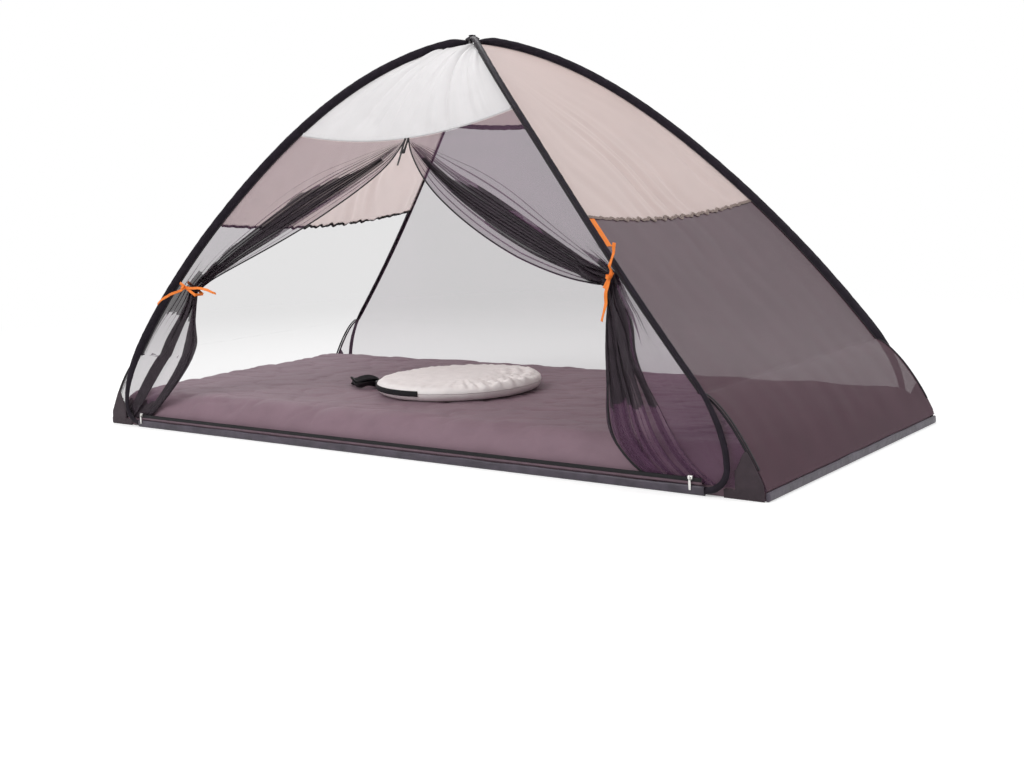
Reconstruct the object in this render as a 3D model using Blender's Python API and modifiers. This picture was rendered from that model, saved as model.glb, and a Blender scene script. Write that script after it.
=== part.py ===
"""Pop-up mosquito net tent for a single bed, with its fitted base cover and storage bag.

The origin is on the floor plane, under the point where the two arches cross.
X runs along the bed, Y across it with the door side at negative Y, and Z is up.
"""
import math

import bmesh
import bpy
from mathutils import Matrix, Vector

# Driving dimensions, in metres
HALF_LENGTH = 1.000
HALF_WIDTH = 0.438
SEAM_HEIGHT = 0.981

# Shares that shape the four legs between the crossing (0) and the corner (1)
LEG_POWER_share = 1.596
LENGTH_BOW_share = 0.040
WIDTH_BOW_share = 0.304
WIDTH_RIPPLE_share = 0.019
SKIRT_START_share = 0.88
SKIRT_FULL_share = 0.70
SKIRT_FLARE = 0.011
TANGENT_STEP_share = 0.002
CROSSING_STEP_share = 0.01
HALVINGS = 40
SKIRT_BULGE = 0.030

# Rods and their joining tubes
ROD_RADIUS = 0.0022
FERRULE_RADIUS = 0.0034
FERRULE_LENGTH = 0.060
ROD_CLEARANCE = 0.0003
GAP = 0.0003

# Fabric sleeves round the rods
SLEEVE_HALF_WIDE = 0.010
SLEEVE_HALF_THIN = 0.0045
SLEEVE_WALL = 0.0015
CROSSING_HALF_WIDE = 0.0080
CROSSING_HALF_THIN = 0.0042
CROSSING_REACH_share = 0.045
SEAM_STANDOFF = 0.0014
CROSSING_HOLD_BACK = 0.010
APEX_PATCH_RADIUS = 0.017
APEX_PATCH_THICKNESS = 0.0012
APEX_LOOP_WIDTH = 0.010
APEX_LOOP_HALF_LONG = 0.0080
APEX_LOOP_HALF_TALL = 0.0042
APEX_LOOP_THICKNESS = 0.0012
APEX_PATCH_TOP_share = 0.9
APEX_LOOP_START_deg = -80
APEX_LOOP_SWEEP_deg = 320
APEX_LOOP_STEPS = 12
APEX_LOOP_LEAN_deg = 10
MERGE_DISTANCE = 0.00001

# Feet: where the rods leave the corner seams and turn into the hems
FOOT_START_share = 0.86
FOOT_INSET = 0.078
FOOT_X = HALF_LENGTH - FOOT_INSET
FOOT_BEND = 0.050
FOOT_EASE = 0.060
LEG_SAMPLE_shares = (0.022, 0.045, 0.09, 0.14, 0.20, 0.27, 0.34, 0.42, 0.51, 0.60, 0.69, 0.77, 0.82,
                     FOOT_START_share)
EASE_STEPS = 5
BEND_STEPS = 4

# Hem tunnels along the long sides and hem bands across the ends
HEM_HEIGHT = 0.020
TUNNEL_HALF_THICK = 0.0046
TUNNEL_WALL = 0.0009
TUNNEL_OFFSET = 0.0075
HEM_BAND_THICK = 0.0080
CHAMFER_share = 0.6

# Panels and nets
CLOTH = 0.0010
EDGE_INSET = 0.0009
PANEL_TOP_share = 0.030
FRONT_SEAM_share = 0.375
FRONT_DIP_share = 0.045
BACK_SEAM_share = 0.355
BACK_DIP_share = 0.030
END_SEAM_share = 0.607
END_DIP_share = 0.020
FRONT_SAG = 0.012
BACK_SAG = 0.035
END_SAG = 0.030
SAG_END_share = 0.90
SEAM_GAP_share = 0.0006

# Door
DOOR_X = 0.015
DOOR_TAPE_WIDTH = 0.006
DOOR_TAPE_LENGTH = 0.042
DOOR_TAPE_START = 0.004
DOOR_TAPE_THICK = 0.0010
DOOR_TAPE_SPLIT = 0.0030
DOOR_SPLIT = 0.0036
DOOR_SLIDER_WIDTH = 0.011
DOOR_PLATE_THICK = 0.0014
DOOR_PULL_LENGTH = 0.040

# Curtains tied back to the front legs
KNOT_RIGHT_share = 0.418
KNOT_LEFT_share = 0.379
KNOT_Z_RIGHT = SEAM_HEIGHT * KNOT_RIGHT_share
KNOT_Z_LEFT = SEAM_HEIGHT * KNOT_LEFT_share
BUNDLE_RISE = 0.030
BUNDLE_DEPTH = 0.018
FOLD_DEPTH = 0.012
GATHER_START_share = 0.12
SEWN_share = 0.25
SLACK_POWER_share = 1.5
LEAD_X_share = 0.12
LEAD_Z_share = 0.43
TRAIL_X_share = 0.19
TRAIL_Z_RIGHT_share = 0.045
TRAIL_Z_LEFT_share = 0.22
CURTAIN_FOLDS = 4
CURTAIN_COLUMNS = 24
FALL_RIGHT_share = 0.645
FALL_LEFT_share = 0.643
FALL_X_RIGHT = HALF_LENGTH * FALL_RIGHT_share
FALL_X_LEFT = HALF_LENGTH * FALL_LEFT_share
FALL_WIDTH = 0.060
FALL_BLEND = 0.150
FREE_FOOT_RIGHT_share = 0.742
FREE_FOOT_LEFT_share = 0.848
FREE_FOOT_X_RIGHT = HALF_LENGTH * FREE_FOOT_RIGHT_share
FREE_FOOT_X_LEFT = HALF_LENGTH * FREE_FOOT_LEFT_share
SWEEP_TOP_RIGHT = 0.170
SWEEP_TOP_LEFT = 0.250
SWEEP_POWER_RIGHT_share = 2.8
SWEEP_POWER_LEFT_share = 1.5
FLAT_RIGHT_share = 0.35
FLAT_LEFT_share = 0.25
ROOM_START = 0.024
ROOM_share = 0.26
DEEPEN_START_share = 0.6
UPPER_ROW_shares = (0, 0.07, 0.17, 0.28, 0.40, 0.53, 0.66, 0.79, 0.90, 1.0)
LOWER_ROW_shares = (0.04, 0.11, 0.22, 0.35, 0.49, 0.63, 0.77, 0.89, 1.0)

# Base cover
COVER_HEIGHT = 0.095
COVER_CLOTH = 0.0020
COVER_ROUND_X = 0.070
COVER_ROUND_Y = 0.070
COVER_FLOOR_GAP = 0.0010
COVER_COLUMNS = 5
COVER_ROWS = 3
COVER_ROUND_deg = (0, 22, 44, 62, 77, 90)

# Corner patches
PATCH_LENGTH = 0.0655
PATCH_START_X = HALF_LENGTH - PATCH_LENGTH
PATCH_TOP_shares = (0.986, 0.968, 0.95)
PATCH_THICK = 0.0030

# Hem zip
ZIP_TAPE_HEIGHT = 0.0130
ZIP_TAPE_THICK = 0.0010
ZIP_FOOT_CLEARANCE = 0.006
COIL_SIZE = 0.0030
SLIDER_LENGTH = 0.010
SLIDER_HEIGHT = 0.009
SLIDER_DEPTH = 0.0080
SLIDER_CORNER_share = 0.25
BRIDGE_WIDTH = 0.0014
BRIDGE_HEIGHT = 0.0060
BRIDGE_BAR = 0.0008
SLIDER_LEFT_FROM_PATCH = 0.0765
SLIDER_RIGHT_FROM_PATCH = 0.0925
SLIDER_LEFT_X = SLIDER_LEFT_FROM_PATCH - PATCH_START_X
SLIDER_RIGHT_X = PATCH_START_X - SLIDER_RIGHT_FROM_PATCH
PULL_LENGTH = 0.024
PULL_WIDTH = 0.0055
PULL_THICK = 0.0010
PULL_BAR = 0.0006
PULL_EYE_WIDTH = 0.0024
PULL_EYE_HEIGHT = 0.0034
PULL_STANDOFF = 0.0012
PULL_NECK_share = 0.75
PULL_WIDEST_share = 0.55

# Ties
RIBBON_WIDTH = 0.008
RIBBON_THICK = 0.0010
BAND_CLEARANCE = 0.0014
BAND_START = 0.006
BAND_END_CLEARANCE = 0.0100
BAND_TURN = 0.0020
KNOT_SIZE = 0.010
KNOT_LONG_share = 1.3
TAIL_RIGHT_UP = 0.080
TAIL_RIGHT_DOWN = 0.088
TAIL_LEFT_IN = 0.126
TAIL_LEFT_OUT = 0.100
TAIL_DROOP = 0.004
TAIL_LIFT = 0.002
TAIL_OVER_SLEEVE = 0.018
TAIL_LEVEL_share = 0.14
TAIL_CLIMB_share = 0.22
TAIL_STEPS = 6
TAIL_RIGHT_UP_deg = 68
TAIL_RIGHT_DOWN_deg = -100
TAIL_LEFT_IN_deg = 183
TAIL_LEFT_OUT_deg = -24

# Label tab, blank
LABEL_TOP_share = 0.612
LABEL_END_share = 0.661
LABEL_WIDTH = 0.016
LABEL_THICK = 0.0008
LABEL_STANDOFF = 0.0022

# Storage bag lying on the cover
BAG_CENTRE_X = -0.050
BAG_CENTRE_Y = -0.060
BAG_RADIUS = 0.215
BAG_THICK = 0.042
BAG_RIM_RADIUS = 0.016
BAG_TAPE_WIDTH = 0.014
BAG_TAPE_THICK = 0.0012
BAG_TAPE_START_deg = 120
BAG_TAPE_END_deg = 280
BAG_SLIDER_deg = 207
BAG_SLIDER_LENGTH = 0.011
BAG_SLIDER_WIDTH = 0.0090
BAG_SLIDER_THICK = 0.0034
BAG_PULL_LENGTH = 0.016
STRAP_LENGTH = 0.120
STRAP_WIDTH = 0.070
STRAP_THICK = 0.026
STRAP_BEVEL = 0.008
STRAP_PLACE_share = 0.9
STRAP_TURN_deg = -12
BAG_FLAT_share = 0.45
BAG_EDGE_share = 0.8
BAG_CROWN_share = 0.06
BAG_WAIST_share = 0.7
BAG_RIM_deg = (70, 40, 12, -12, -40, -70)
BAG_STEPS = 28

LEG_SIGNS = {"front_left": (-1, -1), "front_right": (1, -1), "back_right": (1, 1), "back_left": (-1, 1)}

MATERIALS = {
    "spring_steel": ((0.45, 0.45, 0.47, 1), 0.35, 1.0),
    "sleeve_black": ((0.030, 0.024, 0.030, 1), 0.75, 0.0),
    "cloth_white": ((0.86, 0.86, 0.84, 1), 0.80, 0.0),
    "cloth_beige": ((0.62, 0.55, 0.49, 1), 0.80, 0.0),
    "net_dark": ((0.055, 0.045, 0.055, 1), 0.85, 0.0),
    "cover_grey": ((0.20, 0.155, 0.185, 1), 0.70, 0.0),
    "ribbon_orange": ((0.95, 0.28, 0.05, 1), 0.60, 0.0),
    "zip_black": ((0.025, 0.022, 0.026, 1), 0.60, 0.0),
    "slider_silver": ((0.70, 0.70, 0.70, 1), 0.25, 1.0),
    "slider_black": ((0.030, 0.030, 0.032, 1), 0.35, 0.0),
    "bag_cream": ((0.72, 0.68, 0.60, 1), 0.85, 0.0),
}


def clear_scene():
    for obj in list(bpy.data.objects):
        bpy.data.objects.remove(obj, do_unlink=True)


def make_collection(name):
    collection = bpy.data.collections.new(name)
    bpy.context.scene.collection.children.link(collection)
    return collection


def material(name):
    found = bpy.data.materials.get(name)
    if found:
        return found
    color, roughness, metallic = MATERIALS[name]
    made = bpy.data.materials.new(name)
    made.use_nodes = True
    shader = made.node_tree.nodes["Principled BSDF"]
    shader.inputs["Base Color"].default_value = color
    shader.inputs["Roughness"].default_value = roughness
    shader.inputs["Metallic"].default_value = metallic
    return made


def add_object(name, data, slot, collection):
    obj = bpy.data.objects.new(name, data)
    obj.data.materials.append(material(slot))
    collection.objects.link(obj)
    return obj


def smooth(value):
    t = min(max(value, 0.0), 1.0)
    return t * t * (3 - 2 * t)


def mix(a, b, t):
    return a + (b - a) * t


# Shape of the legs

def leg_x(u):
    return HALF_LENGTH * (u - LENGTH_BOW_share * math.sin(math.pi * u))


def leg_y(u):
    bow = WIDTH_BOW_share * math.sin(math.pi * u) + WIDTH_RIPPLE_share * math.sin(3 * math.pi * u)
    flare = SKIRT_FLARE * smooth((u - SKIRT_START_share) / (1 - SKIRT_START_share))
    return HALF_WIDTH * (u + bow) + flare


def leg_z(u):
    """Height of a seam; below the feet it bulges where the net drapes over the mattress edge."""
    foot = HEM_HEIGHT + GAP + CLOTH / 2
    rise = SEAM_HEIGHT - foot
    skirt = min(max((u - SKIRT_START_share) / (1 - SKIRT_START_share), 0.0), 1.0)
    bulge = SKIRT_BULGE * math.sin(math.pi * skirt) ** SKIRT_FULL_share
    return foot + rise * (1 - u ** LEG_POWER_share) + bulge


def leg_share_at(z):
    """The place along a leg at a height, found by halving."""
    low = 0.0
    high = 1.0
    for _ in range(HALVINGS):
        middle = (low + high) / 2
        if leg_z(middle) > z:
            low = middle
        else:
            high = middle
    return (low + high) / 2


def seam_point(u, signs):
    return Vector((signs[0] * leg_x(u), signs[1] * leg_y(u), leg_z(u)))


def leg_tangent(u, signs):
    a = seam_point(max(u - TANGENT_STEP_share, 0.0), signs)
    b = seam_point(min(u + TANGENT_STEP_share, 1.0), signs)
    return (b - a).normalized()


def ridge_normal(u, signs):
    tangent = leg_tangent(u, signs)
    face = Vector((1, 0, 0)).cross(tangent)
    end = Vector((0, 1, 0)).cross(tangent)
    if face.dot(Vector((0, signs[1], 1))) < 0:
        face = -face
    if end.dot(Vector((signs[0], 0, 1))) < 0:
        end = -end
    normal = face.normalized() + end.normalized()
    normal -= tangent * normal.dot(tangent)
    return normal.normalized()


def crossing_ease(u):
    return smooth(u / CROSSING_REACH_share)


def sleeve_half_wide(u):
    return mix(CROSSING_HALF_THIN, SLEEVE_HALF_WIDE, crossing_ease(u))


def sleeve_half_thin(u):
    return mix(CROSSING_HALF_WIDE, SLEEVE_HALF_THIN, crossing_ease(u))


def is_upper_arch(signs):
    return signs[0] * signs[1] < 0


def sleeve_centre(u, signs):
    lift = SEAM_STANDOFF + sleeve_half_wide(u)
    if is_upper_arch(signs):
        lift += (2 * CROSSING_HALF_THIN + GAP) * (1 - crossing_ease(u))
    return seam_point(u, signs) + ridge_normal(u, signs) * lift


def tunnel_y():
    return leg_y(1.0) + TUNNEL_OFFSET


def crossing_share():
    reach = seam_point(CROSSING_STEP_share, (1, 1)) - seam_point(0.0, (1, 1))
    return CROSSING_STEP_share * CROSSING_HOLD_BACK / reach.length


def leg_path(signs):
    """Centre points of a sleeve with the direction of its wide side and its two half sizes."""
    path = []
    for u in (crossing_share(),) + LEG_SAMPLE_shares:
        normal = ridge_normal(u, signs)
        path.append((sleeve_centre(u, signs), normal, sleeve_half_wide(u), sleeve_half_thin(u)))
    start = path[-1][0]
    start_normal = path[-1][1]
    tangent = leg_tangent(FOOT_START_share, signs)
    side_y = signs[1] * tunnel_y()
    bottom_z = HEM_HEIGHT / 2
    end = Vector((signs[0] * FOOT_X, side_y, bottom_z + FOOT_BEND))
    lead = start + tangent * FOOT_EASE
    hold = end + Vector((0, 0, FOOT_EASE))
    end_normal = Vector((signs[0], 0, 0))
    for step in range(1, EASE_STEPS + 1):
        t = step / EASE_STEPS
        point = start * (1 - t) ** 3 + lead * 3 * t * (1 - t) ** 2
        point += hold * 3 * t * t * (1 - t) + end * t ** 3
        normal = (start_normal * (1 - t) + end_normal * t).normalized()
        path.append((point, normal, SLEEVE_HALF_WIDE, SLEEVE_HALF_THIN))
    for step in range(1, BEND_STEPS + 1):
        angle = math.pi / 2 * step / BEND_STEPS
        out = Vector((signs[0] * math.cos(angle), 0, -math.sin(angle)))
        centre = Vector((signs[0] * (FOOT_X - FOOT_BEND), side_y, bottom_z + FOOT_BEND))
        path.append((centre + out * FOOT_BEND, out, SLEEVE_HALF_WIDE, SLEEVE_HALF_THIN))
    return path


def ring_points(centre, normal, tangent, wide, thin):
    """A six-sided flattened ring, wide along the normal."""
    side = tangent.cross(normal).normalized()
    straight = side.cross(tangent).normalized()
    corners = [(1, 0), (CHAMFER_share, 1), (-CHAMFER_share, 1),
               (-1, 0), (-CHAMFER_share, -1), (CHAMFER_share, -1)]
    return [centre + straight * (wide * a) + side * (thin * b) for a, b in corners]


def loft_tube(name, stations, wall, last_direction, slot, collection):
    """A hollow tube lofted through stations of centre, wide direction and half sizes."""
    mesh = bpy.data.meshes.new(name)
    bm = bmesh.new()
    outer = []
    inner = []
    for index, (centre, normal, wide, thin) in enumerate(stations):
        before = stations[max(index - 1, 0)][0]
        after = stations[min(index + 1, len(stations) - 1)][0]
        tangent = (after - before).normalized()
        if index == len(stations) - 1:
            tangent = last_direction
        outer.append([bm.verts.new(p) for p in ring_points(centre, normal, tangent, wide, thin)])
        lining = ring_points(centre, normal, tangent, wide - wall, thin - wall)
        inner.append([bm.verts.new(p) for p in lining])
    count = len(outer[0])
    for a, b, c, d in zip(outer[:-1], outer[1:], inner[:-1], inner[1:]):
        for k in range(count):
            n = (k + 1) % count
            bm.faces.new((a[k], a[n], b[n], b[k]))
            bm.faces.new((c[n], c[k], d[k], d[n]))
    for ring_out, ring_in, flip in ((outer[0], inner[0], True), (outer[-1], inner[-1], False)):
        for k in range(count):
            n = (k + 1) % count
            quad = (ring_out[k], ring_out[n], ring_in[n], ring_in[k])
            bm.faces.new(quad[::-1] if flip else quad)
    bmesh.ops.recalc_face_normals(bm, faces=bm.faces)
    bm.to_mesh(mesh)
    bm.free()
    mesh.shade_smooth()
    return add_object(name, mesh, slot, collection)


def wire(name, points, radius, slot, collection):
    """A round rod through points."""
    curve = bpy.data.curves.new(name, "CURVE")
    curve.dimensions = "3D"
    curve.bevel_depth = radius
    curve.bevel_resolution = 1
    curve.use_fill_caps = True
    spline = curve.splines.new("POLY")
    spline.points.add(len(points) - 1)
    for spot, point in zip(spline.points, points):
        spot.co = (*point, 1)
    return add_object(name, curve, slot, collection)


def sheet(name, rows, thickness, slot, collection):
    """A cloth shell on a grid of points, one list for each row."""
    mesh = bpy.data.meshes.new(name)
    bm = bmesh.new()
    grid = [[bm.verts.new(p) for p in row] for row in rows]
    for upper, lower in zip(grid[:-1], grid[1:]):
        for k in range(len(upper) - 1):
            bm.faces.new((upper[k], upper[k + 1], lower[k + 1], lower[k]))
    bmesh.ops.recalc_face_normals(bm, faces=bm.faces)
    bm.to_mesh(mesh)
    bm.free()
    mesh.shade_smooth()
    obj = add_object(name, mesh, slot, collection)
    shell = obj.modifiers.new("thickness", "SOLIDIFY")
    shell.thickness = thickness
    shell.offset = 0.0
    return obj


def block(name, centre, size, bevel, slot, collection, rotation=(0, 0, 0)):
    """A box with its edges rounded."""
    mesh = bpy.data.meshes.new(name)
    bm = bmesh.new()
    bmesh.ops.create_cube(bm, size=1.0)
    bmesh.ops.scale(bm, vec=size, verts=bm.verts)
    bm.to_mesh(mesh)
    bm.free()
    obj = add_object(name, mesh, slot, collection)
    obj.location = centre
    obj.rotation_euler = rotation
    if bevel:
        rounding = obj.modifiers.new("rounding", "BEVEL")
        rounding.width = bevel
        rounding.segments = 2
    return obj


def strip(name, points, sides, width, thickness, slot, collection):
    """A flat ribbon through points; sides gives the direction of its width at each point."""
    mesh = bpy.data.meshes.new(name)
    bm = bmesh.new()
    rows = []
    for point, side in zip(points, sides):
        half = side.normalized() * (width / 2)
        rows.append((bm.verts.new(point - half), bm.verts.new(point + half)))
    for a, b in zip(rows[:-1], rows[1:]):
        bm.faces.new((a[0], a[1], b[1], b[0]))
    bm.to_mesh(mesh)
    bm.free()
    mesh.shade_smooth()
    obj = add_object(name, mesh, slot, collection)
    shell = obj.modifiers.new("thickness", "SOLIDIFY")
    shell.thickness = thickness
    shell.offset = 0.0
    return obj


def cut(obj, cutter):
    """Take the cutter's space out of an object."""
    cutter.hide_render = True
    cutter.display_type = "WIRE"
    taken = obj.modifiers.new("cut", "BOOLEAN")
    taken.operation = "DIFFERENCE"
    taken.object = cutter


# Frame

def build_rods(parts):
    """Four half arches, two base rods and the steel tubes that join them."""
    names = {"front_left": "arch_rod_a_front", "back_right": "arch_rod_a_back",
             "front_right": "arch_rod_b_front", "back_left": "arch_rod_b_back"}
    joint_x = FOOT_X - FOOT_BEND - FERRULE_LENGTH / 2 - SLEEVE_HALF_WIDE
    for leg, signs in LEG_SIGNS.items():
        points = [station[0] for station in leg_path(signs)]
        end = Vector((signs[0] * (joint_x + GAP / 2), points[-1].y, points[-1].z))
        wire(names[leg], points + [end], ROD_RADIUS, "spring_steel", parts)
        bore = ROD_RADIUS + ROD_CLEARANCE
        ends = [Vector((signs[0] * joint_x - FERRULE_LENGTH / 2, end.y, end.z)),
                Vector((signs[0] * joint_x + FERRULE_LENGTH / 2, end.y, end.z))]
        ferrule(f"ferrule_{leg}", ends, bore, parts)
    for side, sign in (("front", -1), ("back", 1)):
        y = sign * tunnel_y()
        z = HEM_HEIGHT / 2
        reach = joint_x - GAP / 2
        wire(f"base_rod_{side}", [Vector((-reach, y, z)), Vector((0, y, z)), Vector((reach, y, z))],
             ROD_RADIUS, "spring_steel", parts)


def ferrule(name, ends, bore, parts):
    """A steel tube along X, turned from a short profile."""
    length = ends[1].x - ends[0].x
    mesh = bpy.data.meshes.new(name)
    bm = bmesh.new()
    profile = [(bore, 0), (FERRULE_RADIUS, 0), (FERRULE_RADIUS, length), (bore, length)]
    verts = [bm.verts.new((r, 0, z)) for r, z in profile]
    for a, b in zip(verts, verts[1:] + verts[:1]):
        bm.edges.new((b, a))
    bm.to_mesh(mesh)
    bm.free()
    obj = add_object(name, mesh, "spring_steel", parts)
    obj.location = ends[0]
    obj.rotation_euler = (0, math.pi / 2, 0)
    turn = obj.modifiers.new("turn", "SCREW")
    turn.axis = "Z"
    turn.steps = 8
    turn.render_steps = 8
    turn.use_merge_vertices = True
    turn.merge_threshold = MERGE_DISTANCE
    return obj


def build_sleeves(parts):
    names = {"front_left": "sleeve_a_front", "back_right": "sleeve_a_back",
             "front_right": "sleeve_b_front", "back_left": "sleeve_b_back"}
    for leg, signs in LEG_SIGNS.items():
        inward = Vector((-signs[0], 0, 0))
        loft_tube(names[leg], leg_path(signs), SLEEVE_WALL, inward, "sleeve_black", parts)


def build_apex(parts):
    """The patch over the crossing and the loop sewn on it."""
    crossing = leg_z(0.0) + SEAM_STANDOFF + 4 * CROSSING_HALF_THIN + 2 * GAP
    mesh = bpy.data.meshes.new("apex_patch")
    bm = bmesh.new()
    bmesh.ops.create_cone(bm, cap_ends=True, segments=20, radius1=APEX_PATCH_RADIUS,
                          radius2=APEX_PATCH_RADIUS * APEX_PATCH_TOP_share, depth=APEX_PATCH_THICKNESS)
    bm.to_mesh(mesh)
    bm.free()
    obj = add_object("apex_patch", mesh, "sleeve_black", parts)
    obj.location = (0, 0, crossing + APEX_PATCH_THICKNESS / 2)
    base = crossing + APEX_PATCH_THICKNESS + GAP + APEX_LOOP_THICKNESS / 2
    points = []
    sides = []
    for k in range(APEX_LOOP_STEPS + 1):
        angle = math.radians(APEX_LOOP_START_deg + APEX_LOOP_SWEEP_deg * k / APEX_LOOP_STEPS)
        height = 1 - math.cos(angle + math.radians(APEX_LOOP_LEAN_deg))
        points.append(Vector((-APEX_LOOP_HALF_LONG * math.sin(angle), 0, base + APEX_LOOP_HALF_TALL * height)))
        sides.append(Vector((0, 1, 0)))
    strip("apex_loop", points, sides, APEX_LOOP_WIDTH, APEX_LOOP_THICKNESS, "sleeve_black", parts)


# Panels and nets

def sag_share(u):
    return math.sin(math.pi * min(u / SAG_END_share, 1.0))


def long_face_point(u, s, side, dip, sag):
    """A point on the front or back face; s runs from -1 at the left leg to 1 at the right one."""
    low = u + dip * (1 - s * s)
    x = s * (leg_x(u) - EDGE_INSET)
    y = side * (leg_y(low) - sag * sag_share(u) * (1 - s * s))
    return Vector((x, y, leg_z(low)))


def end_face_point(u, t, side, dip, sag):
    """A point on the left or right face; t runs from -1 at the front leg to 1 at the back one."""
    low = u + dip * (1 - t * t)
    y = t * (leg_y(u) - EDGE_INSET)
    x = side * (leg_x(low) - sag * sag_share(u) * (1 - t * t))
    return Vector((x, y, leg_z(low)))


def face_rows(point, shares, columns, side, dip, sag, seam):
    """Rows of a face; the dip of the seam fades in towards it and out below it."""
    rows = []
    for u in shares:
        weight = smooth(u / seam) if u <= seam else 1 - smooth((u - seam) / (SAG_END_share - seam))
        rows.append([point(u, -1 + 2 * k / columns, side, dip * weight, sag) for k in range(columns + 1)])
    return rows


def spread(start, end, count):
    return [mix(start, end, k / count) for k in range(count + 1)]


def build_panels(parts):
    front = spread(PANEL_TOP_share, FRONT_SEAM_share - SEAM_GAP_share, 6)
    back = spread(PANEL_TOP_share, BACK_SEAM_share - SEAM_GAP_share, 6)
    ends = spread(PANEL_TOP_share, END_SEAM_share - SEAM_GAP_share, 9)
    rows = face_rows(long_face_point, front, 12, -1, FRONT_DIP_share, FRONT_SAG, FRONT_SEAM_share)
    sheet("top_panel_front", rows, CLOTH, "cloth_white", parts)
    rows = face_rows(long_face_point, back, 12, 1, BACK_DIP_share, BACK_SAG, BACK_SEAM_share)
    sheet("top_panel_back", rows, CLOTH, "cloth_beige", parts)
    for name, side in (("right", 1), ("left", -1)):
        rows = face_rows(end_face_point, ends, 8, side, END_DIP_share, END_SAG, END_SEAM_share)
        sheet(f"top_panel_{name}", rows, CLOTH, "cloth_beige", parts)
        low = spread(END_SEAM_share + SEAM_GAP_share, SAG_END_share, 5) + spread(SAG_END_share, 1.0, 4)[1:]
        rows = face_rows(end_face_point, low, 8, side, END_DIP_share, END_SAG, END_SEAM_share)
        sheet(f"net_{name}", rows, CLOTH, "net_dark", parts)
    low = spread(BACK_SEAM_share + SEAM_GAP_share, SAG_END_share, 8) + spread(SAG_END_share, 1.0, 4)[1:]
    rows = face_rows(long_face_point, low, 14, 1, BACK_DIP_share, BACK_SAG, BACK_SEAM_share)
    sheet("net_back", rows, CLOTH, "net_dark", parts)


# Curtains

def curtain_top(a, side):
    """A point on the seam under the front panel; a runs from the leg (0) to the door zip (1)."""
    u = FRONT_SEAM_share + SEAM_GAP_share
    door = side * DOOR_SPLIT + DOOR_X
    s = mix(side, door / leg_x(u), a)
    return long_face_point(u, s, -1, FRONT_DIP_share, FRONT_SAG)


def curtain_fold(a):
    """Depth of the gathers behind the face as a share; none where the net is sewn to the leg."""
    return smooth(a / GATHER_START_share) * (1 - math.cos(2 * math.pi * CURTAIN_FOLDS * a)) / 2


def leg_edge_x(z):
    return leg_x(leg_share_at(z)) - EDGE_INSET


def free_edge_x(z, shape):
    """Distance of the hanging free edge from the middle of the tent, at a height."""
    hem = leg_z(1.0)
    left = min(max(1 - (z - hem) / (shape["sweep_top"] - hem), 0.0), 1.0)
    return shape["fall_x"] + (shape["foot_x"] - shape["fall_x"]) * left ** shape["power_share"]


def curtain_knot(a, shape):
    """The line across the gathered net where the tie holds it, before its folds are added."""
    z = shape["knot_z"] + BUNDLE_RISE * (1 - a)
    x = shape["side"] * mix(leg_edge_x(z), free_edge_x(z, shape), a)
    return Vector((x, -leg_y(leg_share_at(z)), z))


def curtain_upper(a, t, shape):
    """Between the seam (t 0) and the tie (t 1), drawn aside along a slack curve."""
    side = shape["side"]
    top = curtain_top(a, side)
    knot = curtain_knot(a, shape)
    slack = a ** SLACK_POWER_share
    run = knot.x - top.x
    fall = top.z - knot.z
    lead = Vector((run * mix(1 / 3, LEAD_X_share, slack), 0, -fall * mix(1 / 3, LEAD_Z_share, slack)))
    level = mix(1 / 3, shape["trail_z_share"], slack)
    trail = Vector((run * mix(1 / 3, TRAIL_X_share, slack), 0, -fall * level))
    p = top * (1 - t) ** 3 + (top + lead) * 3 * t * (1 - t) ** 2
    p += (knot - trail) * 3 * t * t * (1 - t) + knot * t ** 3
    away = leg_edge_x(knot.z) - abs(knot.x)
    p.x = mix(p.x, side * (leg_edge_x(p.z) - away * t), 1 - smooth(a / SEWN_share))
    sagged = (top.y + leg_y(leg_share_at(top.z))) * (1 - smooth(2 * t))
    deepen = smooth((t - DEEPEN_START_share) / (1 - DEEPEN_START_share))
    depth = mix(FOLD_DEPTH * smooth(t), BUNDLE_DEPTH, deepen)
    p.y = -leg_y(leg_share_at(p.z)) + sagged + curtain_fold(a) * depth
    return p


def curtain_lower(a, t, shape):
    """Between the tie (t 0) and the hem (t 1): a dense fall of folds beside a spread net."""
    z = mix(curtain_knot(a, shape).z, leg_z(1.0), t)
    outer = leg_edge_x(z)
    free = free_edge_x(z, shape)
    flat = shape["flat_share"]
    dense = min(FALL_WIDTH / (outer - free), 1 - flat)
    if a < flat:
        gathered = a / flat * (1 - dense)
    else:
        gathered = 1 - dense + dense * (a - flat) / (1 - flat)
    share = mix(a, gathered, smooth((shape["knot_z"] + BUNDLE_RISE * (1 - a) - z) / FALL_BLEND))
    room = min(max((z - ROOM_START) * ROOM_share, EDGE_INSET), FOLD_DEPTH)
    depth = mix(BUNDLE_DEPTH, room, smooth(3 * t))
    y = -leg_y(leg_share_at(z)) + depth * curtain_fold(a)
    return Vector((shape["side"] * mix(outer, free, share), y, z))


def curtain_shapes():
    right = {"side": 1, "knot_z": KNOT_Z_RIGHT, "fall_x": FALL_X_RIGHT, "foot_x": FREE_FOOT_X_RIGHT,
             "sweep_top": SWEEP_TOP_RIGHT, "power_share": SWEEP_POWER_RIGHT_share,
             "flat_share": FLAT_RIGHT_share, "trail_z_share": TRAIL_Z_RIGHT_share}
    left = {"side": -1, "knot_z": KNOT_Z_LEFT, "fall_x": FALL_X_LEFT, "foot_x": FREE_FOOT_X_LEFT,
            "sweep_top": SWEEP_TOP_LEFT, "power_share": SWEEP_POWER_LEFT_share,
            "flat_share": FLAT_LEFT_share, "trail_z_share": TRAIL_Z_LEFT_share}
    return {"right": right, "left": left}


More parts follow.
